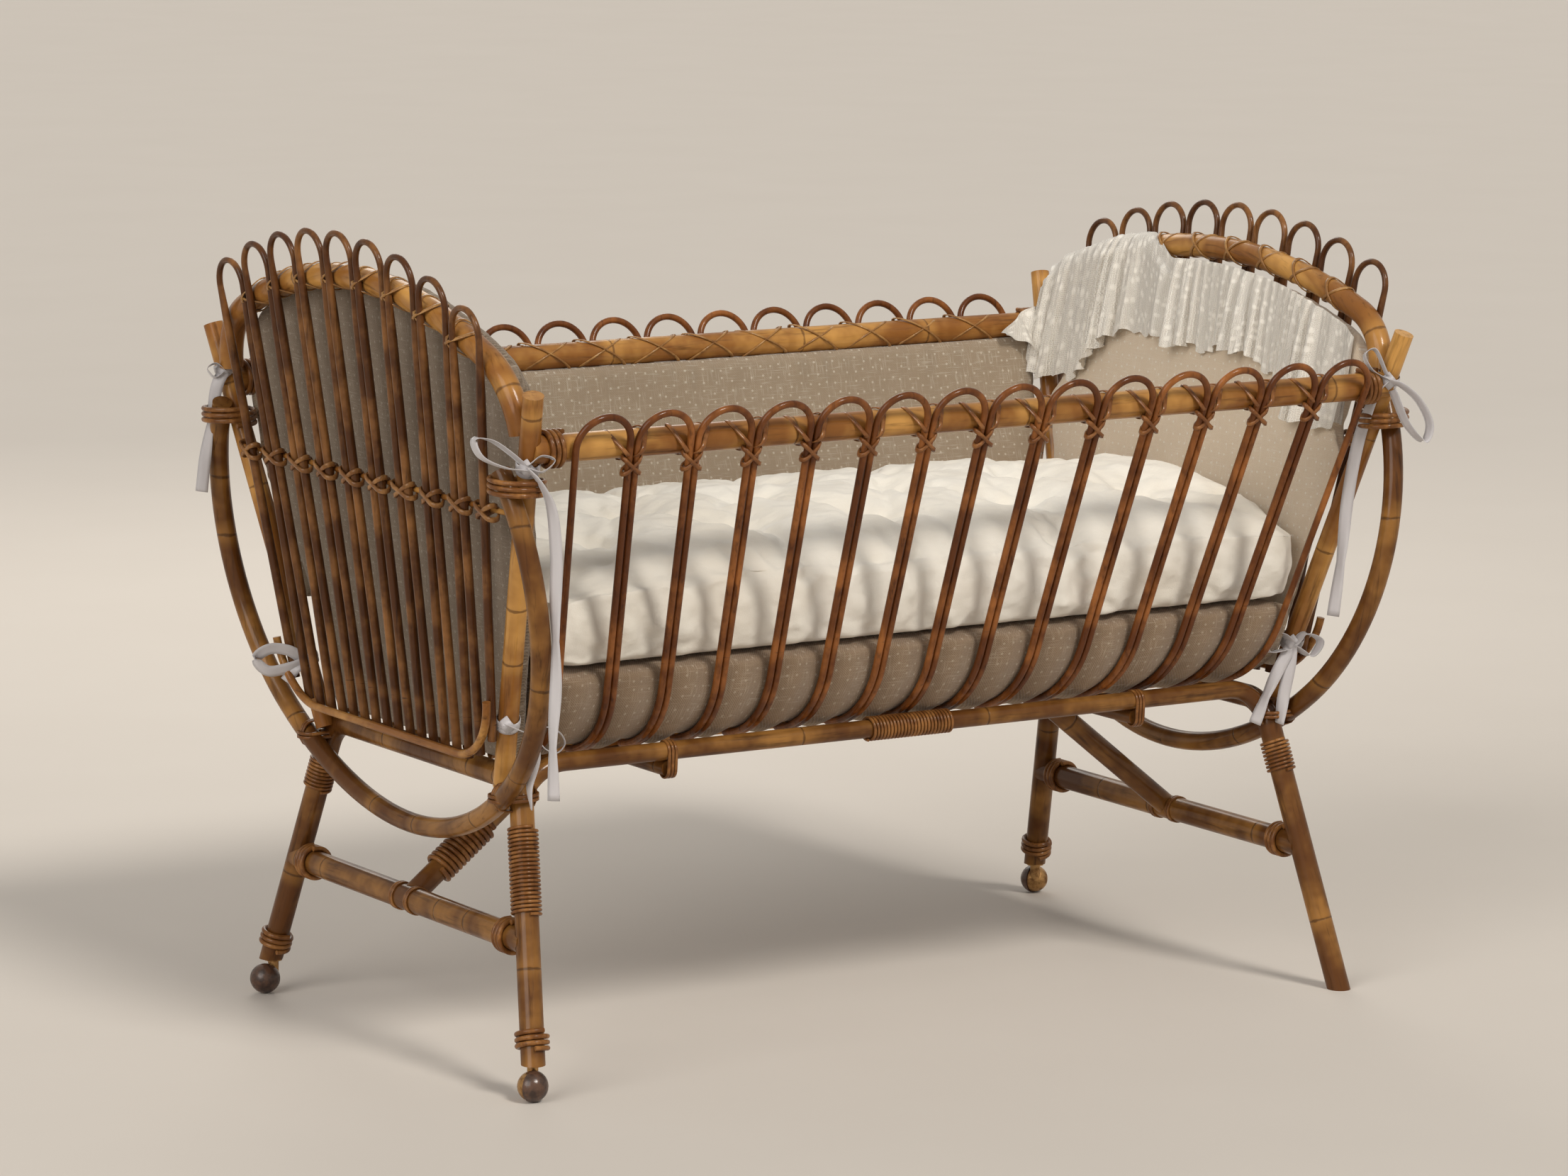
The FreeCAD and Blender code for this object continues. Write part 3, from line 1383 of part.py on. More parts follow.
def tie(name, height, turn, loop_share, tail_share):
    """A ribbon tied round one post, facing a direction in plan."""
    signs = CORNERS[name]
    middle = corner(on_post(height), signs)
    axis = corner(post_top - post_foot, signs).normalize()
    facing_out = Rotation(UP, turn).multVec(ALONG)
    facing_out = (facing_out - axis * facing_out.dot(axis)).normalize()
    across = axis.cross(facing_out)
    inner = half("post_diameter") + clearance
    outer = inner + size("tie_thickness")
    width = size("tie_width")
    start = middle - axis * (width / 2)
    ring = Part.makeCylinder(outer, width, start, axis).cut(Part.makeCylinder(inner, width, start, axis))
    knot_depth = size("tie_knot")
    knot = Part.makeBox(knot_depth, knot_depth, width)
    knot_face = middle + facing_out * (outer - size("tie_thickness") / 2)
    knot_corner = knot_face - across * (knot_depth / 2) - axis * (width / 2)
    knot.Placement = Placement(knot_corner, Rotation(facing_out, across, axis, "ZXY"))
    front = middle + facing_out * (outer + knot_depth / 2)
    pieces = [ring, knot]
    reach = size("tie_loop_length") * loop_share
    for sense in (1, -1):
        loop = []
        for along, up in TIE_LOOP_shares:
            loop.append(front + across * (sense * along * reach) + axis * (up * reach))
        pieces.append(band(loop, facing_out, knot_depth))
    drop = size("tie_tail_length") * tail_share
    for sense in (1, -1):
        down = (across * (sense * TIE_SPREAD_share) - UP).normalize()
        level = (facing_out - down * facing_out.dot(down)).normalize()
        tail = [
            front + down * (share * drop) + level * (out * knot_depth) for share, out in TIE_TAIL_shares
        ]
        pieces.append(band(tail, level.cross(down), width))
    return pieces


tie_groups = (
    ("upper_ties", post_top.z - size("upper_tie_drop"), UPPER_TIE_shares),
    ("lower_ties", size("lower_tie_height"), LOWER_TIE_shares),
)
for group, height, (loop_share, tail_share) in tie_groups:
    solids = []
    for name, turn in TIES:
        pieces = tie(name, height, turn, loop_share, tail_share)
        whole = pieces[0].multiFuse(pieces[1:])
        if len(whole.Solids) != 1:
            raise ValueError(f"the tie on the {name} post came out in {len(whole.Solids)} solids")
        solids.append(whole.Solids[0])
    feature(group, solids)

# Every object is checked before any file is written

doc.recompute()
failed = [thing.Label for thing in doc.Objects if "Invalid" in thing.State or "Error" in thing.State]
failed += [label for label, thing in nodes.items() if thing.Shape.isNull() or not thing.Shape.isValid()]
if failed:
    raise SystemExit(f"these failed: {failed}")
os.makedirs("parts", exist_ok=True)
for label, thing in nodes.items():
    thing.Shape.exportStep(f"parts/{label}.step")
print(f"{len(nodes)} sub-parts written")
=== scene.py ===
# %% [markdown]
# # A rattan cradle, dressed for its portrait
# The frame, the canes and the casters come from the CAD model in metres. This lesson gives them their
# varnish, ties the cane joints, sews the bedding and sets up a plain studio.

# %% Load the frame
import math

import bmesh
import bpy
import numpy as np
from mathutils import Matrix, Vector


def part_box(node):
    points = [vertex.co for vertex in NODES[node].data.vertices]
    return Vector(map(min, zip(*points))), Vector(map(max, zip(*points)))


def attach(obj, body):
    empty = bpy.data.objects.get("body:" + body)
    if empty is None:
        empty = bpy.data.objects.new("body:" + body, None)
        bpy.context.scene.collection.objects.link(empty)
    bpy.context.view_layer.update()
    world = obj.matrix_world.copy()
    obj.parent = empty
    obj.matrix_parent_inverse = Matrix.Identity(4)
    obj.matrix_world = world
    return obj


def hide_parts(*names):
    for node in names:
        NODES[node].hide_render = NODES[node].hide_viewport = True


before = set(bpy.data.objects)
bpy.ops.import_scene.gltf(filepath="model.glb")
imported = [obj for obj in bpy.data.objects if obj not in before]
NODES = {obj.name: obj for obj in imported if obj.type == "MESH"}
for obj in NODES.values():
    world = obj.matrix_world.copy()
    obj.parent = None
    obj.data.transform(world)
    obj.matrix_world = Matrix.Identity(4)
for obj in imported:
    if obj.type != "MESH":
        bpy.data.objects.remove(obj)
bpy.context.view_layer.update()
scene = bpy.context.scene
scene.view_settings.view_transform = "Standard"
print("nodes:", len(NODES))

# %% [markdown]
# ## The cradle's leaning planes
# The four corner posts lean outwards, so each side and each end of the basket is a leaning plane. Most
# pieces are placed on those planes. A few helpers turn a place across, a height and a distance outwards
# into a point, which is easier to read than loose coordinates.

# %% Places on the leaning planes
POST_FOOT = np.array((0.5042, 0.1969, 0.317))
POST_TOP = np.array((0.560, 0.355, 0.753))
END_LEAN = (POST_TOP[0] - POST_FOOT[0]) / (POST_TOP[2] - POST_FOOT[2])
SIDE_LEAN = (POST_TOP[1] - POST_FOOT[1]) / (POST_TOP[2] - POST_FOOT[2])


def unit(vector):
    vector = np.array(vector, float)
    return vector / np.linalg.norm(vector)


def post_at(height):
    """The far right post's axis at a height."""
    return POST_FOOT + (POST_TOP - POST_FOOT) * (height - POST_FOOT[2]) / (POST_TOP[2] - POST_FOOT[2])


def end_point(sign, y, height, out):
    """A point of the right (1) or left (-1) end: across, up, and outwards from the posts' plane."""
    outwards = unit((sign, 0, -END_LEAN))
    return np.array((sign * post_at(height)[0], y, height)) + outwards * out


def side_point(sign, x, height, out):
    """A point of the far (1) or near (-1) side: along, up, and outwards from the posts' plane."""
    outwards = unit((0, sign, -SIDE_LEAN))
    return np.array((x, sign * post_at(height)[1], height)) + outwards * out


RAIL_HEIGHT, ARCH_SPRING, ARCH_SPAN, HAUNCH_SHARE = 0.6935, 0.700, 0.322, 0.643
ARCH_RISE = {"left": 0.140, "right": 0.116}
ENDS = (("left", -1), ("right", 1))


def arch_height(y, rise, inset=0.0):
    """The height of an arch's axis across the end, measured along the lean, or of a line inside it."""
    span, haunch, rise = ARCH_SPAN - inset, rise * HAUNCH_SHARE - inset, rise - inset
    crown = (span ** 2 + rise ** 2 - 2 * span * haunch) / (2 * (rise - haunch))
    middle, beside = rise - crown, span - haunch
    if abs(y) <= beside * crown / math.hypot(beside, middle):
        return ARCH_SPRING + middle + math.sqrt(crown ** 2 - y ** 2)
    return ARCH_SPRING + math.sqrt(max(haunch ** 2 - (abs(y) - beside) ** 2, 0))


def arch_point(sign, y, height, out):
    """A point of an end whose height is measured along the lean from the arch's springing."""
    return end_point(sign, y, ARCH_SPRING, out) + unit((sign * END_LEAN, 0, 1)) * (height - ARCH_SPRING)


print("rail at y", round(float(post_at(RAIL_HEIGHT)[1]), 4))
print("arch tops", [arch_height(0, rise) for rise in ARCH_RISE.values()])

# %% [markdown]
# ## Camera
# The camera's place was solved from the photograph: straight poles give the perspective, and the four
# post tops give the scale. It is a long lens, about 140 mm on a full frame, turned a little to the right
# and down.

# %% Camera at the photograph's angle
YAW, PITCH, ROLL, FOCAL = 0.5676, -0.1604, 0.0088, 8596.0
CAMERA_PLACE = (-3.6464, -5.6724, 1.5510)
PHOTO_WIDTH, SENSOR_WIDTH, SIGHT_LIMIT = 2212, 36, 200
forward = np.array((math.sin(YAW) * math.cos(PITCH), math.cos(YAW) * math.cos(PITCH), math.sin(PITCH)))
level = np.array((math.cos(YAW), -math.sin(YAW), 0))
upright = np.cross(level, forward)
right = level * math.cos(ROLL) + upright * math.sin(ROLL)
up = upright * math.cos(ROLL) - level * math.sin(ROLL)
lens = bpy.data.cameras.new("portrait_camera")
lens.sensor_fit = "HORIZONTAL"
lens.sensor_width = SENSOR_WIDTH
lens.lens = FOCAL / PHOTO_WIDTH * SENSOR_WIDTH
lens.clip_end = SIGHT_LIMIT
camera = bpy.data.objects.new("portrait_camera", lens)
scene.collection.objects.link(camera)
turn = Matrix((right, up, -forward)).transposed().to_4x4()
camera.matrix_world = Matrix.Translation(CAMERA_PLACE) @ turn
scene.camera = camera
print("lens", round(lens.lens, 1), "mm")

# %% [markdown]
# ## Shader helpers
# A material is a graph of nodes. These helpers add a node, set its plain values and join it to others, so
# that each finish below reads as a short list of what the surface has.

# %% Helpers for node graphs


def add(tree, kind, values=None, **settings):
    """A node in a tree, with settings on the node and plain values or links on its inputs."""
    node = tree.nodes.new(kind)
    for key, value in settings.items():
        setattr(node, key, value)
    for key, value in (values or {}).items():
        if isinstance(value, bpy.types.NodeSocket):
            tree.links.new(value, node.inputs[key])
        else:
            node.inputs[key].default_value = value
    return node


def maths(tree, operation, first, second=0.0, third=0.0, clamp=False):
    node = add(tree, "ShaderNodeMath", {0: first, 1: second, 2: third}, operation=operation, use_clamp=clamp)
    return node.outputs[0]


def vector_maths(tree, operation, first, second):
    node = add(tree, "ShaderNodeVectorMath", {0: first, 1: second}, operation=operation)
    return node.outputs["Value"] if operation in ("DOT_PRODUCT", "LENGTH") else node.outputs["Vector"]


def between(tree, value, low, high, start=0.0, end=1.0):
    """A value brought from one range to another, eased at both ends and kept inside."""
    inputs = {"Value": value, "From Min": low, "From Max": high, "To Min": start, "To Max": end}
    return add(tree, "ShaderNodeMapRange", inputs, interpolation_type="SMOOTHSTEP").outputs["Result"]


def mixed(tree, share, first, second, blend="MIX"):
    """Two colours mixed by a share."""
    node = tree.nodes.new("ShaderNodeMix")
    node.data_type = "RGBA"
    node.blend_type = blend
    for socket, value in ((node.inputs[0], share), (node.inputs[6], first), (node.inputs[7], second)):
        if isinstance(value, bpy.types.NodeSocket):
            tree.links.new(value, socket)
        elif socket.type == "RGBA":
            socket.default_value = (*value[:3], 1)
        else:
            socket.default_value = value
    return node.outputs[2]


def noise(tree, vector, scale, detail=3.0, roughness=0.55):
    inputs = {"Vector": vector, "Scale": scale, "Detail": detail, "Roughness": roughness}
    return add(tree, "ShaderNodeTexNoise", inputs).outputs["Fac"]


def new_group(name, inputs, outputs):
    """A shader node group with named sockets; returns the tree and its two end nodes."""
    tree = bpy.data.node_groups.new(name, "ShaderNodeTree")
    for label, kind, value in inputs:
        socket = tree.interface.new_socket(label, in_out="INPUT", socket_type=kind)
        if value is not None:
            socket.default_value = value
    for label, kind in outputs:
        tree.interface.new_socket(label, in_out="OUTPUT", socket_type=kind)
    return tree, tree.nodes.new("NodeGroupInput"), tree.nodes.new("NodeGroupOutput")


def finish(name, **plain):
    """A material with one Principled shader; plain values go on the shader's own sockets."""
    material = bpy.data.materials.new(name)
    material.use_nodes = True
    tree = material.node_tree
    shader = tree.nodes["Principled BSDF"]
    for key, value in plain.items():
        shader.inputs[key.replace("_", " ")].default_value = value
    return material, tree, shader


def bump(tree, shader, height, distance, strength=1.0):
    node = add(tree, "ShaderNodeBump", {"Height": height, "Distance": distance, "Strength": strength})
    tree.links.new(node.outputs["Normal"], shader.inputs["Normal"])


def place_of(tree):
    return tree.nodes.new("ShaderNodeTexCoord").outputs["Object"]


def group_in(tree, group, values):
    return add(tree, "ShaderNodeGroup", values, node_tree=group)


COLOUR, VALUE, VECTOR = "NodeSocketColor", "NodeSocketFloat", "NodeSocketVector"
print("helpers ready")

# %% [markdown]
# ## Varnished rattan
# Rattan is a climbing palm: its skin has fine grooves along the pole, mottled tan patches, and a dark ring
# at each node where a leaf grew. The rings are not evenly spaced, so they come from a one-dimensional
# Voronoi pattern along the pole instead of a plain wave. The same group serves poles, canes and bindings.

# %% The rattan skin group
rattan_skin, skin_in, skin_out = new_group(
    "rattan_skin",
    [("Place", VECTOR, None), ("Grain", VECTOR, None), ("Along", VALUE, 0.0), ("Ring spacing", VALUE, 0.2),
     ("Ring width", VALUE, 0.004), ("Light", COLOUR, (0.42, 0.2, 0.07, 1)), ("Middle", COLOUR, (0.26, 0.1, 0.03, 1)),
     ("Dark", COLOUR, (0.08, 0.028, 0.009, 1)), ("Patch scale", VALUE, 9.0)],
    [("Color", COLOUR), ("Roughness", VALUE), ("Height", VALUE)],
)
g = rattan_skin
patches = noise(g, skin_in.outputs["Place"], skin_in.outputs["Patch scale"], 4.0, 0.6)
streaks = noise(g, skin_in.outputs["Grain"], 160.0, 4.0, 0.65)
broad = noise(g, skin_in.outputs["Grain"], 38.0, 2.0, 0.5)
tone = mixed(g, between(g, patches, 0.40, 0.70), skin_in.outputs["Middle"], skin_in.outputs["Light"])
tone = mixed(g, between(g, broad, 0.48, 0.74, 0.0, 0.7), tone, skin_in.outputs["Middle"])
tone = mixed(g, between(g, streaks, 0.5, 0.78, 0.0, 0.75), tone, skin_in.outputs["Dark"])
along = maths(g, "DIVIDE", skin_in.outputs["Along"], skin_in.outputs["Ring spacing"])
cells = add(g, "ShaderNodeTexVoronoi", {"W": along, "Scale": 1.0, "Randomness": 0.75}, voronoi_dimensions="1D")
away = maths(g, "MULTIPLY", cells.outputs["Distance"], skin_in.outputs["Ring spacing"])
wobble = maths(g, "MULTIPLY_ADD", noise(g, skin_in.outputs["Place"], 90.0, 2.0), 0.004, away)
wide = skin_in.outputs["Ring width"]
ring = maths(g, "SUBTRACT", 1.0, between(g, wobble, maths(g, "MULTIPLY", wide, 0.55), wide))
halo = maths(g, "SUBTRACT", 1.0, between(g, wobble, wide, maths(g, "MULTIPLY", wide, 5.0)))
tone = mixed(g, maths(g, "MULTIPLY", halo, 0.4), tone, skin_in.outputs["Light"])
tone = mixed(g, maths(g, "MULTIPLY", ring, 0.62), tone, skin_in.outputs["Dark"])
g.links.new(tone, skin_out.inputs["Color"])
g.links.new(between(g, streaks, 0.3, 0.8, 0.3, 0.5), skin_out.inputs["Roughness"])
groove = maths(g, "MULTIPLY_ADD", halo, 0.8, maths(g, "MULTIPLY", ring, -0.9))
g.links.new(maths(g, "MULTIPLY_ADD", streaks, 0.35, groove), skin_out.inputs["Height"])
print("rattan group:", len(g.nodes), "nodes")

# %% [markdown]
# Each pole needs to know how far along itself a point is. On a straight pole that is the distance along
# its axis. On an arch or a hoop it is the angle about the middle of the bend, times the radius. On a
# trestle it changes from the level rail to the leg, with an offset for each so that the rings differ.

# %% Along a pole
TRESTLE_FOOT, TRESTLE_SHOULDER = np.array((0.528, 0.306, 0.0)), np.array((0.4878, 0.2054, 0.322))
TRESTLE_BEND_HEIGHT, RAIL_OFFSET, LEG_OFFSET = 0.3085, 3.0, 1.7
STREAK_PULL, LEG_STREAK_PULL, BEND_STREAK = 0.93, 0.9, 0.07


def squeezed(tree, place, axis, distance, share):
    """A place drawn back along an axis, so that a noise on it runs in long streaks."""
    values = {0: tuple(axis), "Scale": maths(tree, "MULTIPLY", distance, -share)}
    back = add(tree, "ShaderNodeVectorMath", values, operation="SCALE")
    return vector_maths(tree, "ADD", place, back.outputs["Vector"])


def along_axis(tree, place, start, end):
    axis = unit(np.array(end) - np.array(start))
    distance = vector_maths(tree, "DOT_PRODUCT", place, tuple(axis))
    return distance, squeezed(tree, place, axis, distance, STREAK_PULL)


def along_bend(tree, place, middle_height, radius):
    parts = add(tree, "ShaderNodeSeparateXYZ", {0: place})
    drop = maths(tree, "SUBTRACT", parts.outputs["Z"], middle_height)
    angle = maths(tree, "ARCTAN2", parts.outputs["Y"], drop)
    distance = maths(tree, "MULTIPLY", angle, radius)
    squares = maths(tree, "ADD", maths(tree, "POWER", parts.outputs["Y"], 2.0), maths(tree, "POWER", drop, 2.0))
    inner = maths(tree, "SQRT", squares)
    values = {0: maths(tree, "MULTIPLY", distance, BEND_STREAK), 1: inner, 2: parts.outputs["X"]}
    return distance, add(tree, "ShaderNodeCombineXYZ", values).outputs[0]


def along_trestle(tree, place):
    mirrored = add(tree, "ShaderNodeVectorMath", {0: place}, operation="ABSOLUTE").outputs["Vector"]
    leg = unit(TRESTLE_FOOT - TRESTLE_SHOULDER)
    down = vector_maths(tree, "DOT_PRODUCT", mirrored, tuple(leg))
    parts = add(tree, "ShaderNodeSeparateXYZ", {0: place})
    on_rail = maths(tree, "GREATER_THAN", parts.outputs["Z"], TRESTLE_BEND_HEIGHT)
    over_rail = maths(tree, "ADD", parts.outputs["Y"], RAIL_OFFSET)
    down_leg = maths(tree, "MULTIPLY_ADD", maths(tree, "SIGN", parts.outputs["Y"]), LEG_OFFSET, down)
    distance = maths(tree, "ADD", maths(tree, "MULTIPLY", over_rail, on_rail),
                     maths(tree, "MULTIPLY", down_leg, maths(tree, "SUBTRACT", 1.0, on_rail)))
    return distance, squeezed(tree, mirrored, leg, down, LEG_STREAK_PULL)


def rattan_finish(name, run, tones, spacing=0.19, width=0.004, shift=0.0, patches=9.0, depth=0.0006):
    """A varnished rattan material; run gives the distance along the pole and the grain coordinates."""
    material, tree, shader = finish(name, Coat_Weight=0.32, Coat_Roughness=0.11, Specular_IOR_Level=0.1)
    place = place_of(tree)
    distance, grain = run(tree, place)
    light, middle, dark = tones
    skin = group_in(tree, rattan_skin, {
        "Place": place, "Grain": grain, "Along": maths(tree, "ADD", distance, shift), "Ring spacing": spacing,
        "Ring width": width, "Light": (*light, 1), "Middle": (*middle, 1), "Dark": (*dark, 1), "Patch scale": patches,
    })
    tree.links.new(skin.outputs["Color"], shader.inputs["Base Color"])
    tree.links.new(skin.outputs["Roughness"], shader.inputs["Roughness"])
    bump(tree, shader, skin.outputs["Height"], depth)
    return material


def dress(node, material):
    """A CAD node keeps its mesh and takes a material."""
    mesh = NODES[node].data
    mesh.materials.clear()
    mesh.materials.append(material)


# Each set of tones is light, middle and dark. Poles near the floor are darker than the rails and posts:
# partly a browner tone of their own and partly painted shade for the light that falls off under the basket.
AMBER = ((0.61, 0.315, 0.083), (0.25, 0.095, 0.02), (0.045, 0.013, 0.0035))
UMBER_AND_SHADE = ((0.36, 0.168, 0.04), (0.105, 0.037, 0.0078), (0.022, 0.007, 0.002))
print("runs ready")

# %% Poles take their varnish
BEND_HEIGHT = 0.52
CORNERS = {"near_left": (-1, -1), "far_left": (-1, 1), "near_right": (1, -1), "far_right": (1, 1)}
straight_poles = {}
for corner, (sx, sy) in CORNERS.items():
    flip = np.array((sx, sy, 1))
    straight_poles[f"{corner}_post"] = (POST_FOOT * flip, POST_TOP * flip)
for side in ("near", "far"):
    straight_poles[f"{side}_top_rail"] = ((-1, 0, 0), (1, 0, 0))
    straight_poles[f"{side}_bottom_rail"] = ((-1, 0, 0), (1, 0, 0))
for end, sign in ENDS:
    straight_poles[f"{end}_crossbar"] = ((0, -1, 0), (0, 1, 0))
    straight_poles[f"{end}_floor_bearer"] = ((0, -1, 0), (0, 1, 0))
    straight_poles[f"{end}_brace"] = ((sign * 0.508, 0, 0.16), (sign * 0.307, 0, 0.319))
# Posts and top rails take the amber tones; the other straight poles take the darker tones, which carry painted shade.
for index, (node, (start, stop)) in enumerate(straight_poles.items()):
    spacing = 0.23 if "rail" in node else 0.16
    dress(node, rattan_finish(
        f"varnish_{node}", lambda tree, place, a=start, b=stop: along_axis(tree, place, a, b),
        AMBER if node.endswith(("post", "top_rail")) else UMBER_AND_SHADE, spacing, shift=index * 0.37,
    ))
# Arches take the amber tones; hoops and trestles take the darker tones, which carry painted shade.
for (end, _), shift in zip(ENDS, (0.11, 0.53)):
    for pole, run, tones, spacing in (
        ("arch", lambda tree, place: along_bend(tree, place, BEND_HEIGHT, 0.32), AMBER, 0.21),
        ("hoop", lambda tree, place: along_bend(tree, place, BEND_HEIGHT, 0.31), UMBER_AND_SHADE, 0.15),
        ("trestle", along_trestle, UMBER_AND_SHADE, 0.15),
    ):
        dress(f"{end}_{pole}", rattan_finish(f"varnish_{end}_{pole}", run, tones, spacing, shift=shift))
print("poles dressed:", len(straight_poles) + 6)

# %% Thin canes, bindings and floor canes
SLAT = ((0.36, 0.128, 0.031), (0.105, 0.0295, 0.006), (0.022, 0.0055, 0.0017))
PANEL = ((0.275, 0.118, 0.035), (0.078, 0.0265, 0.0075), (0.016, 0.0052, 0.002))
WRAP = ((0.33, 0.145, 0.041), (0.155, 0.057, 0.0145), (0.038, 0.012, 0.004))


def upright_run(tree, place):
    return along_axis(tree, place, (0, 0, 0), (0, 0, 1))


def level_run(tree, place):
    return along_axis(tree, place, (0, 0, 0), (0, 1, 0))


slat_cane = rattan_finish("slat_cane", upright_run, SLAT, spacing=0.4, width=0.0025, patches=14.0, depth=0.0003)
panel_cane = rattan_finish("panel_cane", upright_run, PANEL, spacing=0.35, width=0.0025, patches=16.0, depth=0.0003)
bow_cane = rattan_finish("bow_cane", level_run, AMBER, spacing=0.2, width=0.003, patches=16.0, depth=0.0003)
binding_cane = rattan_finish("binding_cane", upright_run, WRAP, spacing=0.05, width=0.002, patches=70.0, depth=0.0003)
for node in ("near_side_canes", "far_side_canes"):
    dress(node, slat_cane)
for node in ("left_end_canes", "right_end_canes"):
    dress(node, panel_cane)
for node in ("left_end_bow", "right_end_bow", "left_weaver", "right_weaver", "floor_canes"):
    dress(node, bow_cane)
for node in NODES:
    if "binding" in node:
        dress(node, binding_cane)
print("canes dressed")

# %% [markdown]
# ## Casters and nails
# The casters are old brass gone brown, with a dark hard wheel. Metal keeps a plain colour but its polish
# is uneven, so the roughness and the tint follow a noise.

# %% Metal finishes


def mottled_metal(name, bright, dull, metallic=1.0, rough=(0.28, 0.55), scale=120.0):
    material, tree, shader = finish(name, Metallic=metallic)
    place = place_of(tree)
    spots = noise(tree, place, scale, 4.0, 0.6)
    tree.links.new(mixed(tree, between(tree, spots, 0.38, 0.66), bright, dull), shader.inputs["Base Color"])
    tree.links.new(between(tree, spots, 0.3, 0.7, *rough), shader.inputs["Roughness"])
    bump(tree, shader, noise(tree, place, scale * 4, 2.0), 0.0001)
    return material


brass = mottled_metal("aged_brass", (0.46, 0.27, 0.11), (0.2, 0.1, 0.04))
resin = mottled_metal("dark_resin_wheel", (0.10, 0.05, 0.03), (0.035, 0.018, 0.012), 0.0, (0.2, 0.4))
steel = mottled_metal("nail_steel", (0.42, 0.4, 0.38), (0.22, 0.2, 0.18), 1.0, (0.3, 0.5), 400.0)
for node in NODES:
    if "caster" in node:
        dress(node, resin if node.endswith("wheel") else brass)
dress("joint_nails", steel)
print("metal dressed")

# %% [markdown]
# ## Lashings
# Each pair of canes is tied to its rail by two flat strips of cane that cross in an X. A strip runs round
# the rail and the canes together, so its path is a belt round two circles. One tie is built as a mesh, and
# a Geometry Nodes tree puts it at every place in a list, turned as the place says, with a small random
# tilt from a fixed seed.

# %% The tree that repeats a piece
repeat_tree = bpy.data.node_groups.new("repeat_piece_at_places", "GeometryNodeTree")
sockets = {}
for label, kind in (("Places", "NodeSocketGeometry"), ("Piece", "NodeSocketObject"), ("Finish", "NodeSocketMaterial"),
                    ("Tilt spread", "NodeSocketFloat"), ("Seed", "NodeSocketInt")):
    sockets[label] = repeat_tree.interface.new_socket(label, in_out="INPUT", socket_type=kind).identifier
repeat_tree.interface.new_socket("Pieces", in_out="OUTPUT", socket_type="NodeSocketGeometry")
t = repeat_tree
tree_in, tree_out = t.nodes.new("NodeGroupInput"), t.nodes.new("NodeGroupOutput")
stored_turn = add(t, "GeometryNodeInputNamedAttribute", {"Name": "facing"}, data_type="FLOAT_VECTOR")
sway = add(t, "FunctionNodeRandomValue", data_type="FLOAT_VECTOR")
low_sway = add(t, "ShaderNodeMath", {0: tree_in.outputs["Tilt spread"], 1: -1.0}, operation="MULTIPLY")
t.links.new(low_sway.outputs[0], sway.inputs[0])
t.links.new(tree_in.outputs["Tilt spread"], sway.inputs[1])
t.links.new(tree_in.outputs["Seed"], sway.inputs["Seed"])
turned = add(t, "ShaderNodeVectorMath", {0: stored_turn.outputs["Attribute"], 1: sway.outputs[0]}, operation="ADD")
shape = add(t, "GeometryNodeObjectInfo", {"Object": tree_in.outputs["Piece"]})
copies = add(t, "GeometryNodeInstanceOnPoints", {
    "Points": tree_in.outputs["Places"], "Instance": shape.outputs["Geometry"], "Rotation": turned.outputs[0],
})
real = add(t, "GeometryNodeRealizeInstances", {"Geometry": copies.outputs[0]})
painted = add(t, "GeometryNodeSetMaterial", {"Geometry": real.outputs[0], "Material": tree_in.outputs["Finish"]})
t.links.new(painted.outputs[0], tree_out.inputs["Pieces"])
print("repeat tree:", len(t.nodes), "nodes")

# %% Meshes, plain copies and repeats


def mesh_piece(name, points, faces, smooth=True):
    """A new object from points and faces, with its normals turned outwards."""
    mesh = bpy.data.meshes.new(name)
    mesh.from_pydata([tuple(p) for p in points], [], faces)
    shell = bmesh.new()
    shell.from_mesh(mesh)
    bmesh.ops.recalc_face_normals(shell, faces=shell.faces)
    shell.to_mesh(mesh)
    shell.free()
    for face in mesh.polygons:
        face.use_smooth = smooth
    thing = bpy.data.objects.new(name, mesh)
    scene.collection.objects.link(thing)
    return thing


def frozen(thing, name):
    """The evaluated thing as a plain mesh in a new object; the old object goes."""
    graph = bpy.context.evaluated_depsgraph_get()
    mesh = bpy.data.meshes.new_from_object(thing.evaluated_get(graph))
    plain = bpy.data.objects.new(name, mesh)
    scene.collection.objects.link(plain)
    bpy.data.objects.remove(thing)
    return plain


def repeat(name, piece, places, material, spread=0.0, seed=3):
    """The piece at every place; each place is a point and three axes as columns."""
    holder = bpy.data.meshes.new(name + "_places")
    holder.from_pydata([tuple(point) for point, _ in places], [], [])
    turns = holder.attributes.new("facing", "FLOAT_VECTOR", "POINT")
    for index, (_, axes) in enumerate(places):
        turns.data[index].vector = Matrix(np.array(axes).T.tolist()).to_euler()
    thing = bpy.data.objects.new(name + "_places", holder)
    scene.collection.objects.link(thing)
    modifier = thing.modifiers.new("repeat", "NODES")
    modifier.node_group = repeat_tree
    for label, value in (("Piece", piece), ("Finish", material), ("Tilt spread", spread), ("Seed", seed)):
        modifier[sockets[label]] = value
    result = frozen(thing, name)
    bpy.data.objects.remove(piece)
    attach(result, "cradle")
    print(name, len(places), "places,", len(result.data.polygons), "faces")
    return result


# %% One crossed tie
CIRCLE_STEPS = 72
STRIP_SECTION = ((0, -0.5), (1, -0.35), (1, 0.35), (0, 0.5))
STRIP_CLEARANCE = 0.15


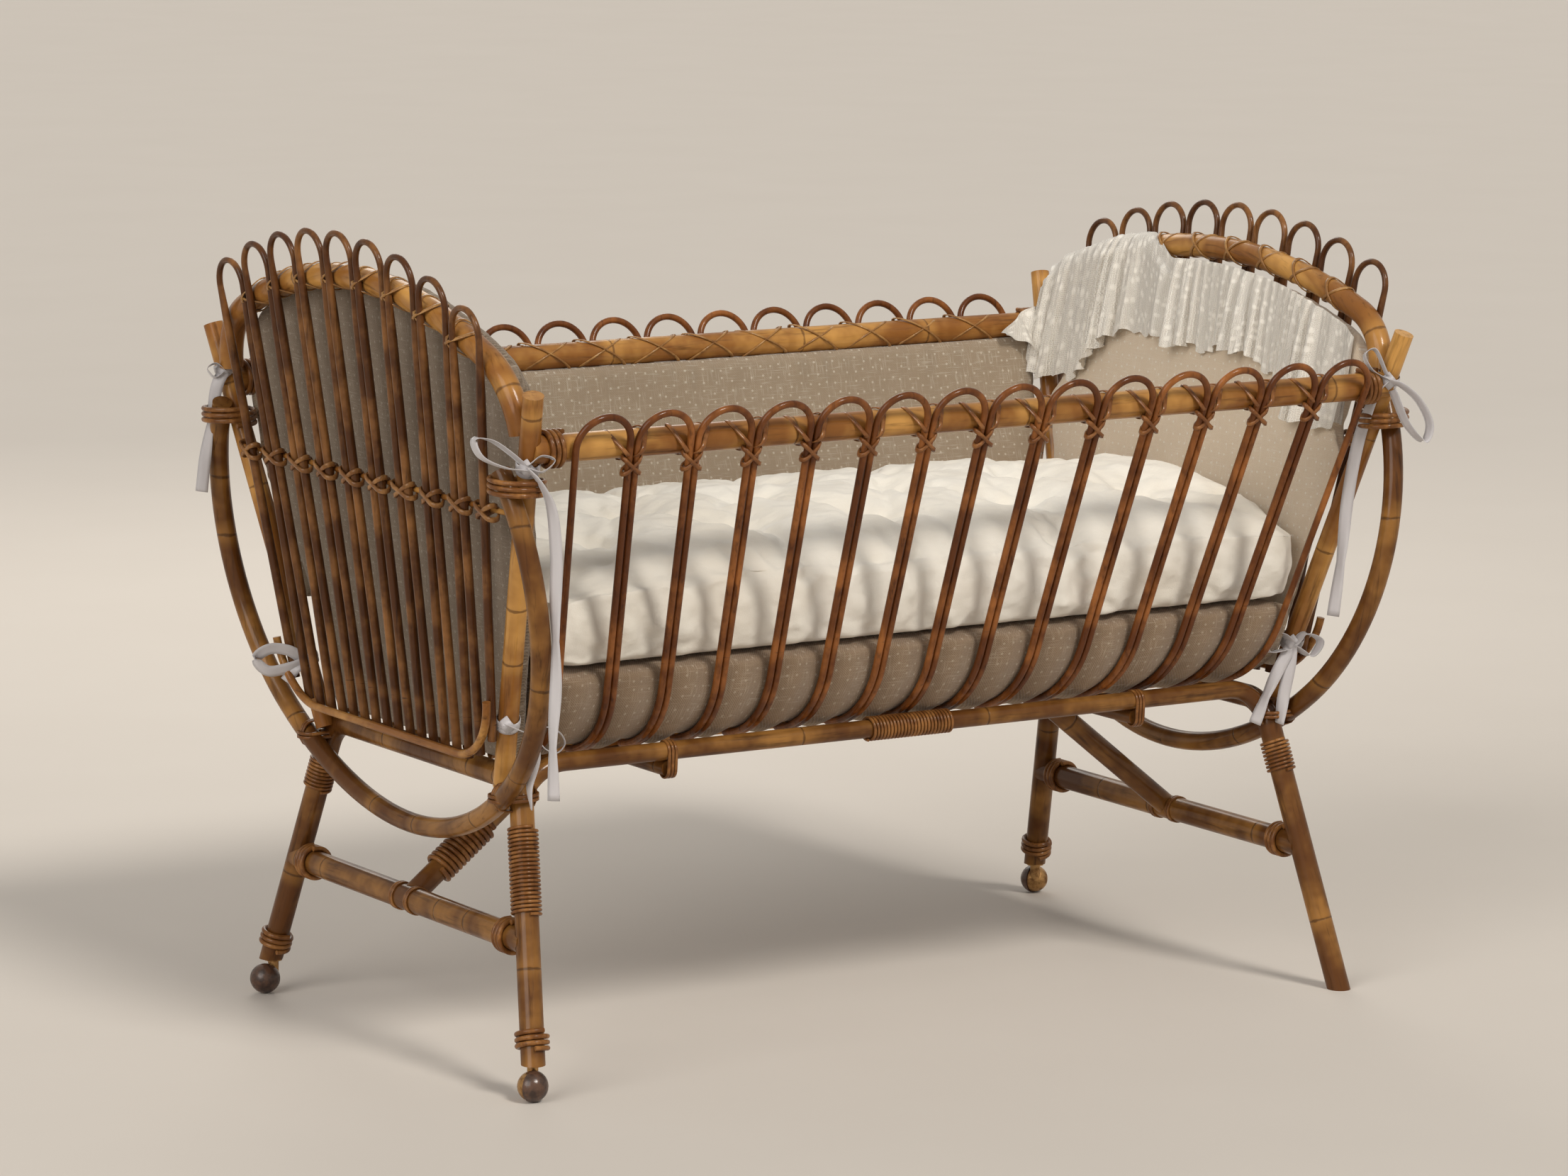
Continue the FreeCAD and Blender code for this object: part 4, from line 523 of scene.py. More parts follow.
def hull_belt(circles, steps):
    """Points round a set of circles (out, up, radius), as a string pulled tight, evenly spaced."""
    cloud = []
    for out, upward, radius in circles:
        for index in range(CIRCLE_STEPS):
            angle = 2 * math.pi * index / CIRCLE_STEPS
            cloud.append((out + radius * math.cos(angle), upward + radius * math.sin(angle)))
    cloud = sorted(set(cloud))

    def half(points):
        chain = []
        for p in points:
            while len(chain) > 1 and np.cross(np.subtract(chain[-1], chain[-2]), np.subtract(p, chain[-1])) <= 0:
                chain.pop()
            chain.append(p)
        return chain[:-1]

    ring = np.array(half(cloud) + half(cloud[::-1]))
    closed = np.vstack([ring, ring[:1]])
    lengths = np.concatenate([[0], np.cumsum(np.linalg.norm(np.diff(closed, axis=0), axis=1))])
    at = np.linspace(0, lengths[-1], steps, endpoint=False)
    return np.stack([np.interp(at, lengths, closed[:, 0]), np.interp(at, lengths, closed[:, 1])], 1)


def strip_loop(path, slants, width, thickness):
    """A flat closed strip: path gives (out, up), slants the shift along the rail at each point."""
    count = len(path)
    points, faces = [], []
    middle = path.mean(0)
    for index in range(count):
        before, after = path[index - 1], path[(index + 1) % count]
        run = unit(after - before)
        normal = np.array((run[1], -run[0]))
        if np.dot(normal, path[index] - middle) < 0:
            normal = -normal
        for lift, across in STRIP_SECTION:
            spot = path[index] + normal * thickness * (lift + STRIP_CLEARANCE)
            points.append((slants[index] + across * width, spot[0], spot[1]))
    for index in range(count):
        for corner in range(4):
            a, b = index * 4 + corner, index * 4 + (corner + 1) % 4
            c, d = (index + 1) % count * 4 + (corner + 1) % 4, (index + 1) % count * 4 + corner
            faces.append((a, b, c, d))
    return points, faces


def joined(name, loops):
    """One piece from several sets of points and faces."""
    points, faces = [], []
    for spots, quads in loops:
        faces += [tuple(i + len(points) for i in quad) for quad in quads]
        points += spots
    return mesh_piece(name, points, faces)


def crossed_tie(name, circles, half_width, width, thickness=0.0012, steps=28, crossing=0.0):
    """Two strips that cross at the front and the back; local X runs along the rail, Y outwards, Z up."""
    path = hull_belt(circles, steps)
    rise = (path[:, 1] - crossing) / np.abs(path[:, 1]).max()
    loops = []
    for layer, sign in enumerate((1, -1)):
        grown = path * (1 + layer * thickness / np.abs(path).max())
        loops.append(strip_loop(grown, sign * half_width * rise, width, thickness))
    return joined(name, loops)


SIDE_PITCH, SIDE_PAIRS, PAIR_HALF, RAIL_R, CANE_R, RAIL_GAP = 0.0734, 13, 0.0046, 0.015, 0.0038, 0.0191
# The near rail's ties take a darker copy of the tie cane as painted shade; the far rail's and the arches' ties take
# the lit copy.
LASH_TONES = {
    "lash_cane": ((0.46, 0.25, 0.085), (0.26, 0.12, 0.037), (0.085, 0.034, 0.011)),
    "shaded_lash_cane": ((0.34, 0.145, 0.046), (0.18, 0.066, 0.02), (0.05, 0.017, 0.006)),
    "knot_cane": ((0.37, 0.18, 0.06), (0.19, 0.078, 0.024), (0.05, 0.018, 0.006)),
}
lash_cane, shaded_lash, knot_cane = (
    rattan_finish(name, level_run, tones, spacing=0.09, width=0.0015, patches=60.0, depth=0.0002)
    for name, tones in LASH_TONES.items()
)
print("tie cane finishes:", len(LASH_TONES))

# %% Ties and knots on the top rails
KNOT_DROP, KNOT_PITCH, TIE_SWAY = 0.0150, SIDE_PITCH * 0.996, 0.06
# Each rail: which way it faces, its ties' half width, strip width and crossing height, and their cane; the
# near rail's cane is the darker copy, painted shade.
for side, sign, half_width, width, crossing, cane in (
    ("near", -1, 0.0135, 0.0062, -0.009, shaded_lash),
    ("far", 1, 0.030, 0.0048, 0.0, lash_cane),
):
    outwards, upwards = unit((0, sign, -SIDE_LEAN)), unit((0, sign * SIDE_LEAN, 1))
    along = np.cross(outwards, upwards)
    steps = [index - (SIDE_PAIRS - 1) // 2 for index in range(SIDE_PAIRS)]
    tie = crossed_tie("rail_tie", [(0, 0, RAIL_R), (RAIL_GAP, 0, CANE_R)], half_width, width, crossing=crossing)
    places = [(side_point(sign, step * SIDE_PITCH, RAIL_HEIGHT, 0), (along, outwards, upwards)) for step in steps]
    repeat(f"{side}_rail_lashings", tie, places, cane, TIE_SWAY, 5 + sign)
    pair = [(0, PAIR_HALF, CANE_R), (0, -PAIR_HALF, CANE_R)]
    knot = crossed_tie("pair_knot", pair, half_width=0.0092, width=0.0060, thickness=0.0022, steps=24)
    places = [(side_point(sign, step * KNOT_PITCH, RAIL_HEIGHT - KNOT_DROP, RAIL_GAP), (upwards, outwards, -along))
              for step in steps]
    repeat(f"{side}_pair_knots", knot, places, cane, TIE_SWAY, 31 + sign)

# %% Ties on the arches
END_PITCH, END_LOOPS, ARCH_R, END_CANE_R, LOOP_CANE_R, END_GAP = 0.065, 9, 0.0135, 0.005, 0.0039, 0.0188
SLOPE_STEP = 0.002
for end, sign in ENDS:
    rise = ARCH_RISE[end]
    tie = crossed_tie("arch_tie", [(0, 0, ARCH_R), (END_GAP, 0, LOOP_CANE_R)], half_width=0.0155, width=0.0052)
    outwards, upwards = unit((sign, 0, -END_LEAN)), unit((sign * END_LEAN, 0, 1))
    across = np.cross(outwards, upwards)
    places = []
    for index in range(END_LOOPS - 1):
        y = (index - (END_LOOPS - 2) / 2) * END_PITCH
        slope = (arch_height(y + SLOPE_STEP, rise) - arch_height(y - SLOPE_STEP, rise)) / (2 * SLOPE_STEP)
        run = unit(across + upwards * slope * across[1])
        places.append((arch_point(sign, y, arch_height(y, rise), 0), (run, outwards, np.cross(run, outwards))))
    repeat(f"{end}_arch_lashings", tie, places, lash_cane, TIE_SWAY, 11 + sign)

# %% [markdown]
# Half way down each end, a thin weaver runs behind the canes. Every pair is knotted to it, and so are the two
# outer legs. The legs of a hairpin lean, so the place of a pair at the weaver comes from the same straight
# lines as the canes.

# %% Knots along the weavers
END_FOOT_SHARE, BOW_HEIGHT, WEAVER_HEIGHT, END_PAIR, LOOP_LIFT = 0.78, 0.352, 0.6248, 0.0095, 0.024
LOOP_RADIUS, FOOT_RADIUS = (END_PITCH - END_PAIR) / 2, END_PITCH * END_FOOT_SHARE / 4
KNOT_SPREAD, WEAVER_BEHIND, WEAVER_R, EDGE_SHIFT = 0.0083, 0.0083, 0.003, 0.004


def in_plane(height):
    """A height measured along the lean of an end, from the arch's springing."""
    return ARCH_SPRING + (height - ARCH_SPRING) * math.hypot(1, END_LEAN)


def leg_place(loop_y, side, height, rise):
    """Where one leg of an end hairpin is across the end, at a height along the lean."""
    top, low = arch_height(loop_y, rise) + LOOP_LIFT, in_plane(BOW_HEIGHT)
    share = (top - height) / (top - low)
    start, stop = loop_y + side * LOOP_RADIUS, loop_y * END_FOOT_SHARE + side * FOOT_RADIUS
    return start + (stop - start) * share


for end, sign in ENDS:
    rise, level = ARCH_RISE[end], in_plane(WEAVER_HEIGHT)
    outwards, upwards = unit((sign, 0, -END_LEAN)), unit((sign * END_LEAN, 0, 1))
    sideways = np.cross(upwards, outwards)
    bundle = [(0, KNOT_SPREAD, END_CANE_R), (0, -KNOT_SPREAD, END_CANE_R), (-WEAVER_BEHIND, 0, WEAVER_R)]
    tie = crossed_tie("weaver_knot", bundle, half_width=0.0075, width=0.0062, thickness=0.0022, steps=26)
    places = []
    for index in range(-1, END_LOOPS):
        first = (index - (END_LOOPS - 1) / 2) * END_PITCH
        legs = [leg_place(first, 1, level, rise), leg_place(first + END_PITCH, -1, level, rise)]
        y = sum(legs) / 2
        if index < 0:
            y = legs[1] - EDGE_SHIFT
        elif index == END_LOOPS - 1:
            y = legs[0] + EDGE_SHIFT
        places.append((arch_point(sign, y, level, END_GAP), (upwards, outwards, -sideways)))
    repeat(f"{end}_weaver_knots", tie, places, knot_cane, spread=0.1, seed=21 + sign)

# %% [markdown]
# Where a floor bearer passes under a bottom rail, a short strap of cane holds the two together. A hoop and a
# trestle pass each other at about a right angle, so they get two straps that cross. The foot of each brace
# is held between two rings on the crossbar.

# %% Straps under the basket
STRAP_STEPS, STRAP_THICKNESS = 28, 0.0016


def strap(name, circles, turns, width, stretch=1.0, grown=1.0):
    """Flat turns of cane side by side round a set of circles, stretched where a pole is cut on the slant."""
    path = hull_belt(circles, STRAP_STEPS) * (1.0, stretch) * grown
    return joined(name, [strip_loop(path, np.full(STRAP_STEPS, shift), width, STRAP_THICKNESS) for shift in turns])


def strap_places(spot, outwards, upwards, mirrored):
    """A strap's place and its mirror images; outwards turns with the end where it runs along the cradle."""
    places = []
    for sx in (-1, 1):
        for sy in (-1, 1):
            out = np.array(outwards) * ((sx, 1, 1) if mirrored else 1)
            places.append((np.array(spot) * (sx, sy, 1), (np.cross(out, upwards), out, np.array(upwards))))
    return places


BEARER_X, BOTTOM_RAIL_Y, CROSSING_PLACE, RING_Y = 0.307, 0.207, (0.4893, 0.2145, 0.308), 0.0165
RAIL_OVER_BEARER, SLANT_STRETCH, OUTER_LAYER = 0.0103, 1.22, 1.07
ALONG, ACROSS, UP = (1, 0, 0), (0, 1, 0), (0, 0, 1)
bearer_low, bearer_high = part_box("left_floor_bearer")
rail_z, bearer_z = bearer_high[2] + RAIL_OVER_BEARER, (bearer_low[2] + bearer_high[2]) / 2
bar_low, bar_high = (np.array(v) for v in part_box("right_crossbar"))
bar = (bar_low + bar_high) / 2
crossing = [(0, 0, 0.013), (0.0252, 0, 0.011)]
straps = {
    "bearer_straps": (
        strap("bearer_strap", [(0, 0, 0.0102), (0, bearer_z - rail_z, 0.0092)], (-0.0042, 0, 0.0042), 0.0039),
        strap_places((BEARER_X, BOTTOM_RAIL_Y, rail_z), ACROSS, UP, False)),
    "hoop_upright_straps": (
        strap("hoop_upright_strap", crossing, (-0.0023, 0.0023), 0.0042, SLANT_STRETCH),
        strap_places(CROSSING_PLACE, ALONG, UP, True)),
    "hoop_level_straps": (
        strap("hoop_level_strap", crossing, (-0.0023, 0.0023), 0.0042, SLANT_STRETCH, OUTER_LAYER),
        strap_places(CROSSING_PLACE, ALONG, ACROSS, True)),
    "brace_rings": (
        strap("brace_ring", [(0, 0, (bar_high[2] - bar_low[2]) / 2)], (-0.0021, 0.0021), 0.0039),
        strap_places((bar[0], RING_Y, bar[2]), ALONG, UP, True)),
}
for name, (piece, places) in straps.items():
    repeat(name, piece, places, binding_cane, spread=0.04, seed=9)

# %% [markdown]
# ## Cloth
# The pad and the bumpers are linen with small pale dots. A plain weave is two sets of threads that pass over
# and under each other: a checker decides which thread is on top, and a sine across each thread makes it
# round. The dots are a Voronoi pattern with little disorder, so that they look sewn in rows by hand.

# %% The linen group
linen, linen_in, linen_out = new_group(
    "dotted_linen_weave",
    [("Place", VECTOR, None), ("Thread", VALUE, 0.0012), ("Warp", COLOUR, (0.4, 0.3, 0.2, 1)),
     ("Weft", COLOUR, (0.3, 0.2, 0.12, 1)), ("Dot", COLOUR, (0.75, 0.7, 0.6, 1)), ("Dot spacing", VALUE, 0.013),
     ("Dot radius", VALUE, 0.0017), ("Dot strength", VALUE, 0.8)],
    [("Color", COLOUR), ("Roughness", VALUE), ("Height", VALUE)],
)
g = linen
parts = add(g, "ShaderNodeSeparateXYZ", {0: linen_in.outputs["Place"]})
threads = [maths(g, "DIVIDE", parts.outputs[axis], linen_in.outputs["Thread"]) for axis in ("X", "Y")]
ridges = [maths(g, "ABSOLUTE", maths(g, "SINE", maths(g, "MULTIPLY", t, math.pi))) for t in threads]
order = maths(g, "ADD", maths(g, "FLOOR", threads[0]), maths(g, "FLOOR", threads[1]))
over = maths(g, "MULTIPLY", maths(g, "FRACT", maths(g, "MULTIPLY", order, 0.5)), 2.0)
under = maths(g, "SUBTRACT", 1.0, over)
woven = maths(g, "ADD", maths(g, "MULTIPLY", ridges[0], over), maths(g, "MULTIPLY", ridges[1], under))
slubs = [noise(g, vector_maths(g, "MULTIPLY", linen_in.outputs["Place"], scale), 1.0, 2.0)
         for scale in ((40.0, 700.0, 1.0), (700.0, 40.0, 1.0))]
tone = mixed(g, over, linen_in.outputs["Warp"], linen_in.outputs["Weft"])
tone = mixed(g, between(g, maths(g, "MAXIMUM", *slubs), 0.53, 0.78, 0.0, 0.55), tone, linen_in.outputs["Dot"])
worn = noise(g, linen_in.outputs["Place"], 9.0, 3.0)
tone = mixed(g, between(g, worn, 0.35, 0.7, 0.0, 0.4), tone, linen_in.outputs["Weft"])
spacing = linen_in.outputs["Dot spacing"]
spots = add(g, "ShaderNodeTexVoronoi", {
    "Vector": linen_in.outputs["Place"], "Scale": maths(g, "DIVIDE", 1.0, spacing), "Randomness": 0.45,
}, voronoi_dimensions="2D")
spot = maths(g, "MULTIPLY", spots.outputs["Distance"], spacing)
radius = linen_in.outputs["Dot radius"]
dots = maths(g, "SUBTRACT", 1.0, between(g, spot, maths(g, "MULTIPLY", radius, 0.6), radius))
dots = maths(g, "MULTIPLY", dots, linen_in.outputs["Dot strength"])
g.links.new(mixed(g, dots, tone, linen_in.outputs["Dot"]), linen_out.inputs["Color"])
g.links.new(between(g, woven, 0.0, 1.0, 0.95, 0.78), linen_out.inputs["Roughness"])
g.links.new(maths(g, "MULTIPLY_ADD", dots, 0.8, woven), linen_out.inputs["Height"])


def linen_finish(name, across, upwards, warp, weft, dot, strength=0.8, mirrored=False):
    """Dotted linen laid flat on two directions of the object, or on both halves alike."""
    material, tree, shader = finish(name, Sheen_Weight=0.25, Sheen_Roughness=0.5, Specular_IOR_Level=0.25)
    place = place_of(tree)
    if mirrored:
        place = add(tree, "ShaderNodeVectorMath", {0: place}, operation="ABSOLUTE").outputs["Vector"]
    flat = add(tree, "ShaderNodeCombineXYZ", {
        0: vector_maths(tree, "DOT_PRODUCT", place, across), 1: vector_maths(tree, "DOT_PRODUCT", place, upwards)})
    cloth = group_in(tree, linen, {
        "Place": flat.outputs[0], "Warp": (*warp, 1), "Weft": (*weft, 1), "Dot": (*dot, 1), "Dot strength": strength})
    tree.links.new(cloth.outputs["Color"], shader.inputs["Base Color"])
    tree.links.new(cloth.outputs["Roughness"], shader.inputs["Roughness"])
    bump(tree, shader, cloth.outputs["Height"], 0.0003)
    return material


# Each cloth is its warp, its weft and its dots.
TAUPE = ((0.40, 0.31, 0.215), (0.30, 0.222, 0.145), (0.72, 0.65, 0.54))
PAD = ((0.34, 0.235, 0.145), (0.225, 0.147, 0.085), (0.60, 0.50, 0.38))
# The right bumper's tones are a paler linen, raised further as painted light for its inner face, which the key light
# barely reaches.
LIT_BEIGE = ((0.82, 0.685, 0.525), (0.70, 0.565, 0.415), (0.90, 0.84, 0.74))
# The left bumper's tones are painted shade: the linen is drawn darker than it is for the shadow of its end.
SHADED_LEFT = ((0.33, 0.255, 0.18), (0.175, 0.122, 0.076), (0.58, 0.50, 0.40))
far_linen = linen_finish("dotted_linen_far", (1, 0, 0), (0, 0.35, 0.95), *TAUPE, 0.55)
pad_linen = linen_finish("dotted_linen_pad", (1, 0, 0), (0, -0.25, 1.1), *PAD, 0.45, True)
right_linen = linen_finish("dotted_linen_right", (0, 1, 0), (0.15, 0, 0.98), *LIT_BEIGE, 0.7)
left_linen = linen_finish("dotted_linen_left", (0, 1, 0), (-0.15, 0, 0.98), *SHADED_LEFT, 0.4)
print("linen group:", len(g.nodes), "nodes")

# %% [markdown]
# ## Padded pieces
# A padded piece starts as a copy of its CAD solid, melted into one even skin of small squares and drawn in a
# little. The cloth solver then blows it up against its own stretch, which rounds the edges and wrinkles the
# skin as a filling does. A cap on each point's travel keeps the piece inside its place.

# %% Helpers for padding


def points_of(mesh, what="co"):
    values = np.empty(len(mesh.vertices) * 3)
    source = mesh.vertices if what == "co" else mesh.vertex_normals
    source.foreach_get("co" if what == "co" else "vector", values)
    return values.reshape(-1, 3)


def set_points(mesh, points):
    mesh.vertices.foreach_set("co", np.asarray(points, np.float32).ravel())
    mesh.update()


def ramp(values, start, end):
    """0 at the start, 1 at the end, in a straight line between them and level outside."""
    return np.clip((values - start) / (end - start), 0, 1)


def soft_copy(node, name, voxel, draw_in):
    """A CAD solid as one even closed skin, drawn in along its normals."""
    mesh = NODES[node].data.copy()
    shell = bmesh.new()
    shell.from_mesh(mesh)
    bmesh.ops.remove_doubles(shell, verts=shell.verts, dist=1e-5)
    shell.to_mesh(mesh)
    shell.free()
    thing = bpy.data.objects.new(name + "_raw", mesh)
    scene.collection.objects.link(thing)
    melt = thing.modifiers.new("melt", "REMESH")
    melt.mode, melt.voxel_size = "VOXEL", voxel
    soft = frozen(thing, name)
    set_points(soft.data, points_of(soft.data) - points_of(soft.data, "normal") * draw_in)
    return soft


def plump(soft, cap, pressure=4.0, held=None, growth=0.0, frames=20):
    """Swells a soft piece with the cloth solver; cap is the most that each point may travel."""
    rest = points_of(soft.data)
    cloth = soft.modifiers.new("filling", "CLOTH")
    settings = cloth.settings
    settings.quality, settings.mass, settings.air_damping = 4, 0.2, 2.0
    settings.tension_stiffness = settings.compression_stiffness = 18
    settings.shear_stiffness, settings.bending_stiffness = 6, 0.4
    settings.effector_weights.gravity = 0
    settings.use_pressure, settings.uniform_pressure_force = True, pressure
    settings.shrink_min = -growth
    if held is not None:
        group = soft.vertex_groups.new(name="held")
        group.add([int(i) for i in np.flatnonzero(held)], 1.0, "REPLACE")
        settings.vertex_group_mass = "held"
    cloth.point_cache.frame_start, cloth.point_cache.frame_end = 1, frames
    for frame_number in range(1, frames + 1):
        scene.frame_set(frame_number)
    graph = bpy.context.evaluated_depsgraph_get()
    swollen = points_of(soft.evaluated_get(graph).data)
    soft.modifiers.remove(cloth)
    scene.frame_set(1)
    travel = swollen - rest
    length = np.linalg.norm(travel, axis=1)
    share = np.minimum(1, np.broadcast_to(cap, length.shape) / np.maximum(length, 1e-9))
    return rest + travel * share[:, None]


def finished(soft, name, node, material):
    rounder = soft.modifiers.new("round", "SUBSURF")
    rounder.levels = rounder.render_levels = 1
    piece = frozen(soft, name)
    for face in piece.data.polygons:
        face.use_smooth = True
    piece.data.materials.clear()
    piece.data.materials.append(material)
    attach(piece, "cradle")
    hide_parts(node)
    print(name, len(piece.data.polygons), "faces")
    return piece


# %% [markdown]
# The mattress is a thick cotton quilt. Yarn is pulled through it at the tufts, so the skin is held deep there
# and swells between them. The cotton is a little larger than its filling, so creases run from tuft to tuft.

# %% The tufted mattress
TUFT_COLUMNS, TUFT_ROWS, MIDDLE_COLUMNS = (-0.74, -0.37, 0, 0.37, 0.74), (-0.42, 0.42), (-0.555, -0.185, 0.185, 0.555)
TUFT_DEPTH, TUFT_RADIUS, TUFT_HOLD = 0.013, 0.016, 0.007
low, high = (np.array(v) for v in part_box("mattress"))
middle, reach = (low + high) / 2, (high - low) / 2
tufts = [(column, row) for column in TUFT_COLUMNS for row in TUFT_ROWS]
tufts += [(column, 0.0) for column in MIDDLE_COLUMNS]
tufts = np.array([(middle[0] + c * reach[0], middle[1] + r * reach[1]) for c, r in tufts])
quilt = soft_copy("mattress", "quilt_skin", voxel=0.0075, draw_in=0.002)
spots, normals = points_of(quilt.data), points_of(quilt.data, "normal")
reaches = spots[:, None, :2] - tufts[None]
nearest = np.linalg.norm(reaches, axis=2).argmin(1)
reaches = reaches[np.arange(len(spots)), nearest]
away = np.linalg.norm(reaches, axis=1)
topside = ramp(normals[:, 2], 0.2, 0.6)
spots[:, 2] -= TUFT_DEPTH * np.exp(-(away / TUFT_RADIUS) ** 2) * topside
set_points(quilt.data, spots)
held = ((away < TUFT_HOLD) & (topside > 0.5)) | (normals[:, 2] < -0.8)
spots = plump(quilt, 0.003 + 0.013 * topside, pressure=5.0, held=held, growth=0.06, frames=24)
print("tufts", len(tufts))

# %% [markdown]
# The solver leaves a smooth skin. The cotton also bulges through the gaps of the side canes, puckers round each
# tuft, falls away at the near edge and creases. A crease is the sharp ridge of a sine wave turned over, and
# nine waves in random directions, from a fixed seed, make them cross as they do on a soft quilt.

# %% Bulges, puckers and creases
SIDE_BULGE, PUCKER, EDGE_DROP, CREASE, CREASES = 0.0085, 0.0028, 0.014, 0.012, 9
PUCKER_COUNT, PUCKER_REACH, PUCKER_WIDTH, EDGE_REACH = 7, 0.036, 0.024, 0.05


def between_slats(points):
    """How far along from a pair of side canes to the middle of the gap beside it, from 0 to 1."""
    drawn = 1 - 0.075 * np.clip((RAIL_HEIGHT - points[:, 2]) / 0.3, 0, 1)
    return (0.5 - 0.5 * np.cos(2 * math.pi * points[:, 0] / drawn / SIDE_PITCH)) ** 1.3


near_face = ramp(-normals[:, 1], 0.25, 0.75)
spots[:, 1] -= SIDE_BULGE * near_face * between_slats(spots)
spokes = np.sin(PUCKER_COUNT * np.arctan2(reaches[:, 1], reaches[:, 0]) + 1.7 * nearest + 60 * away)
spots[:, 2] += PUCKER * spokes * np.exp(-((away - PUCKER_REACH) / PUCKER_WIDTH) ** 2) * topside
spots[:, 2] -= EDGE_DROP * np.exp(-((spots[:, 1] - low[1]) / EDGE_REACH) ** 2) * topside
chance = np.random.default_rng(4)
folds = np.zeros(len(spots))
for _ in range(CREASES):
    heading, wave, start = chance.uniform(0, 2 * math.pi), chance.uniform(60, 150), chance.uniform(0, 2 * math.pi)
    run = wave * np.array((0.6 * math.cos(heading), math.sin(heading), 0.8))
    drift = spots @ run[[1, 0, 2]] * 0.35
    folds += 1 - np.abs(np.sin(spots @ run + start + 1.3 * np.sin(drift)))
folds = (folds - folds.mean()) / CREASES
spots += normals * (CREASE * folds * np.maximum(topside, near_face))[:, None]
set_points(quilt.data, spots)

cotton, tree, shader = finish(
    "ivory_cotton", Sheen_Weight=0.35, Sheen_Roughness=0.45, Specular_IOR_Level=0.2, Roughness=0.88)
place = place_of(tree)
cloud = between(tree, noise(tree, place, 7.0, 4.0), 0.35, 0.7)
tree.links.new(mixed(tree, cloud, (0.87, 0.825, 0.735), (0.82, 0.76, 0.655)), shader.inputs["Base Color"])
crease = noise(tree, vector_maths(tree, "MULTIPLY", place, (15.0, 30.0, 24.0)), 1.0, 3.0, 0.55)
thread = noise(tree, place, 900.0, 2.0)
bump(tree, shader, maths(tree, "MULTIPLY_ADD", thread, 0.06, crease), 0.0065, 0.8)
quilt = finished(quilt, "mattress_quilt", "mattress", cotton)

# %% Yarn knots in the tufts
STRANDS, STRAND_TURN, STRAND_REACH, STRAND_RISE, STRAND_LAYER = 5, 2.4, 0.0075, 0.0032, 0.0004
STRAND_SHARES = (-1, -0.5, 0, 0.5, 1)
STRAND_SECTION = ((-0.0013, 0.0), (0.0, 0.0018), (0.0013, 0.0), (0.0, -0.0006))
strands = []
for strand in range(STRANDS):
    heading = np.array((math.cos(strand * STRAND_TURN), math.sin(strand * STRAND_TURN)))
    side = np.array((-heading[1], heading[0]))
    last = len(STRAND_SECTION) * (len(STRAND_SHARES) - 1)
    points, faces = [], [(0, 1, 2, 3), (last, last + 1, last + 2, last + 3)]
    for share in STRAND_SHARES:
        height = STRAND_RISE * (1 - share ** 2) + STRAND_LAYER * strand
        for across, lift in STRAND_SECTION:
            points.append((*(heading * share * STRAND_REACH + side * across), height + lift))
    for run in range(len(STRAND_SHARES) - 1):
        for corner in range(4):
            a, b = run * 4 + corner, run * 4 + (corner + 1) % 4
            faces.append((a, b, b + 4, a + 4))
    strands.append((points, faces))
yarn_knot = joined("yarn_knot", strands)
yarn, tree, shader = finish("tuft_yarn", Roughness=0.9, Sheen_Weight=0.3)
fuzz = noise(tree, place_of(tree), 500.0, 2.0)
tree.links.new(mixed(tree, fuzz, (0.72, 0.60, 0.40), (0.84, 0.75, 0.58)), shader.inputs["Base Color"])
top = points_of(quilt.data)
places = []
for x, y in tufts:
    close = np.linalg.norm(top[:, :2] - (x, y), axis=1) < 0.012
    floor_of_tuft = top[close & (top[:, 2] > middle[2])][:, 2].min()
    places.append((np.array((x, y, floor_of_tuft)), np.eye(3)))
repeat("tuft_yarn", yarn_knot, places, yarn, spread=0.5, seed=17)

# %% [markdown]
# The base pad fills the bottom of the basket, and the bumpers are thin padded panels. They are stiffer than
# the mattress, so their caps are small. The far bumper and the pad are the darker linen. The right bumper is
# paler, partly its own colour and partly painted light for its inner face, which the key light barely reaches.
# The left one, which shows its back, is darkest: painted shade. After the solver each gets the form that the
# photograph shows: the pad bulges through the canes, the far bumper is pleated under its rail, and the end
# bumpers reach round the posts.

# %% How each cover is shaped
PAD_BULGE, PAD_SAG, RAIL_LIFT, PLEAT_DEPTH, FOOT_SPREAD = 0.0075, 0.009, 0.012, 0.0022, 0.006
RIGHT_SPREAD, LIP_SPREAD, LEFT_SPREAD, LEFT_DROP, SPREAD_FROM = 0.012, 0.022, 0.013, 0.021, 0.17


def shape_pad(spots, normals):
    """Bulges between the canes at the sides, and sags between them underneath."""
    face = ramp(np.abs(normals[:, 1]), 0.25, 0.75) * ramp(spots[:, 2], 0.372, 0.402)
    spots[:, 1] += np.sign(spots[:, 1]) * PAD_BULGE * face * between_slats(spots)
    edge = ramp(np.abs(spots[:, 1]), 0.12, 0.17) * ramp(spots[:, 2], 0.40, 0.37)
    spots[:, 2] -= PAD_SAG * edge * between_slats(spots)


def shape_far(spots, normals):
    """Raised to the rail and pleated there, and wider towards the foot of both ends."""
    x, near_top = spots[:, 0], np.exp(-((spots[:, 2].max() - spots[:, 2]) / 0.03) ** 2)
    spots[:, 2] += RAIL_LIFT * near_top
    pleats = np.sin(x * 190 + 2.2 * np.sin(x * 23)) * (0.6 + 0.4 * np.sin(x * 37))
    spots[:, 1] -= PLEAT_DEPTH * near_top * (1 + pleats) * (normals[:, 1] < 0)
    spots[:, 0] += np.sign(x) * FOOT_SPREAD * ramp(spots[:, 2], 0.632, 0.602) * ramp(np.abs(x), 0.4, 0.48)


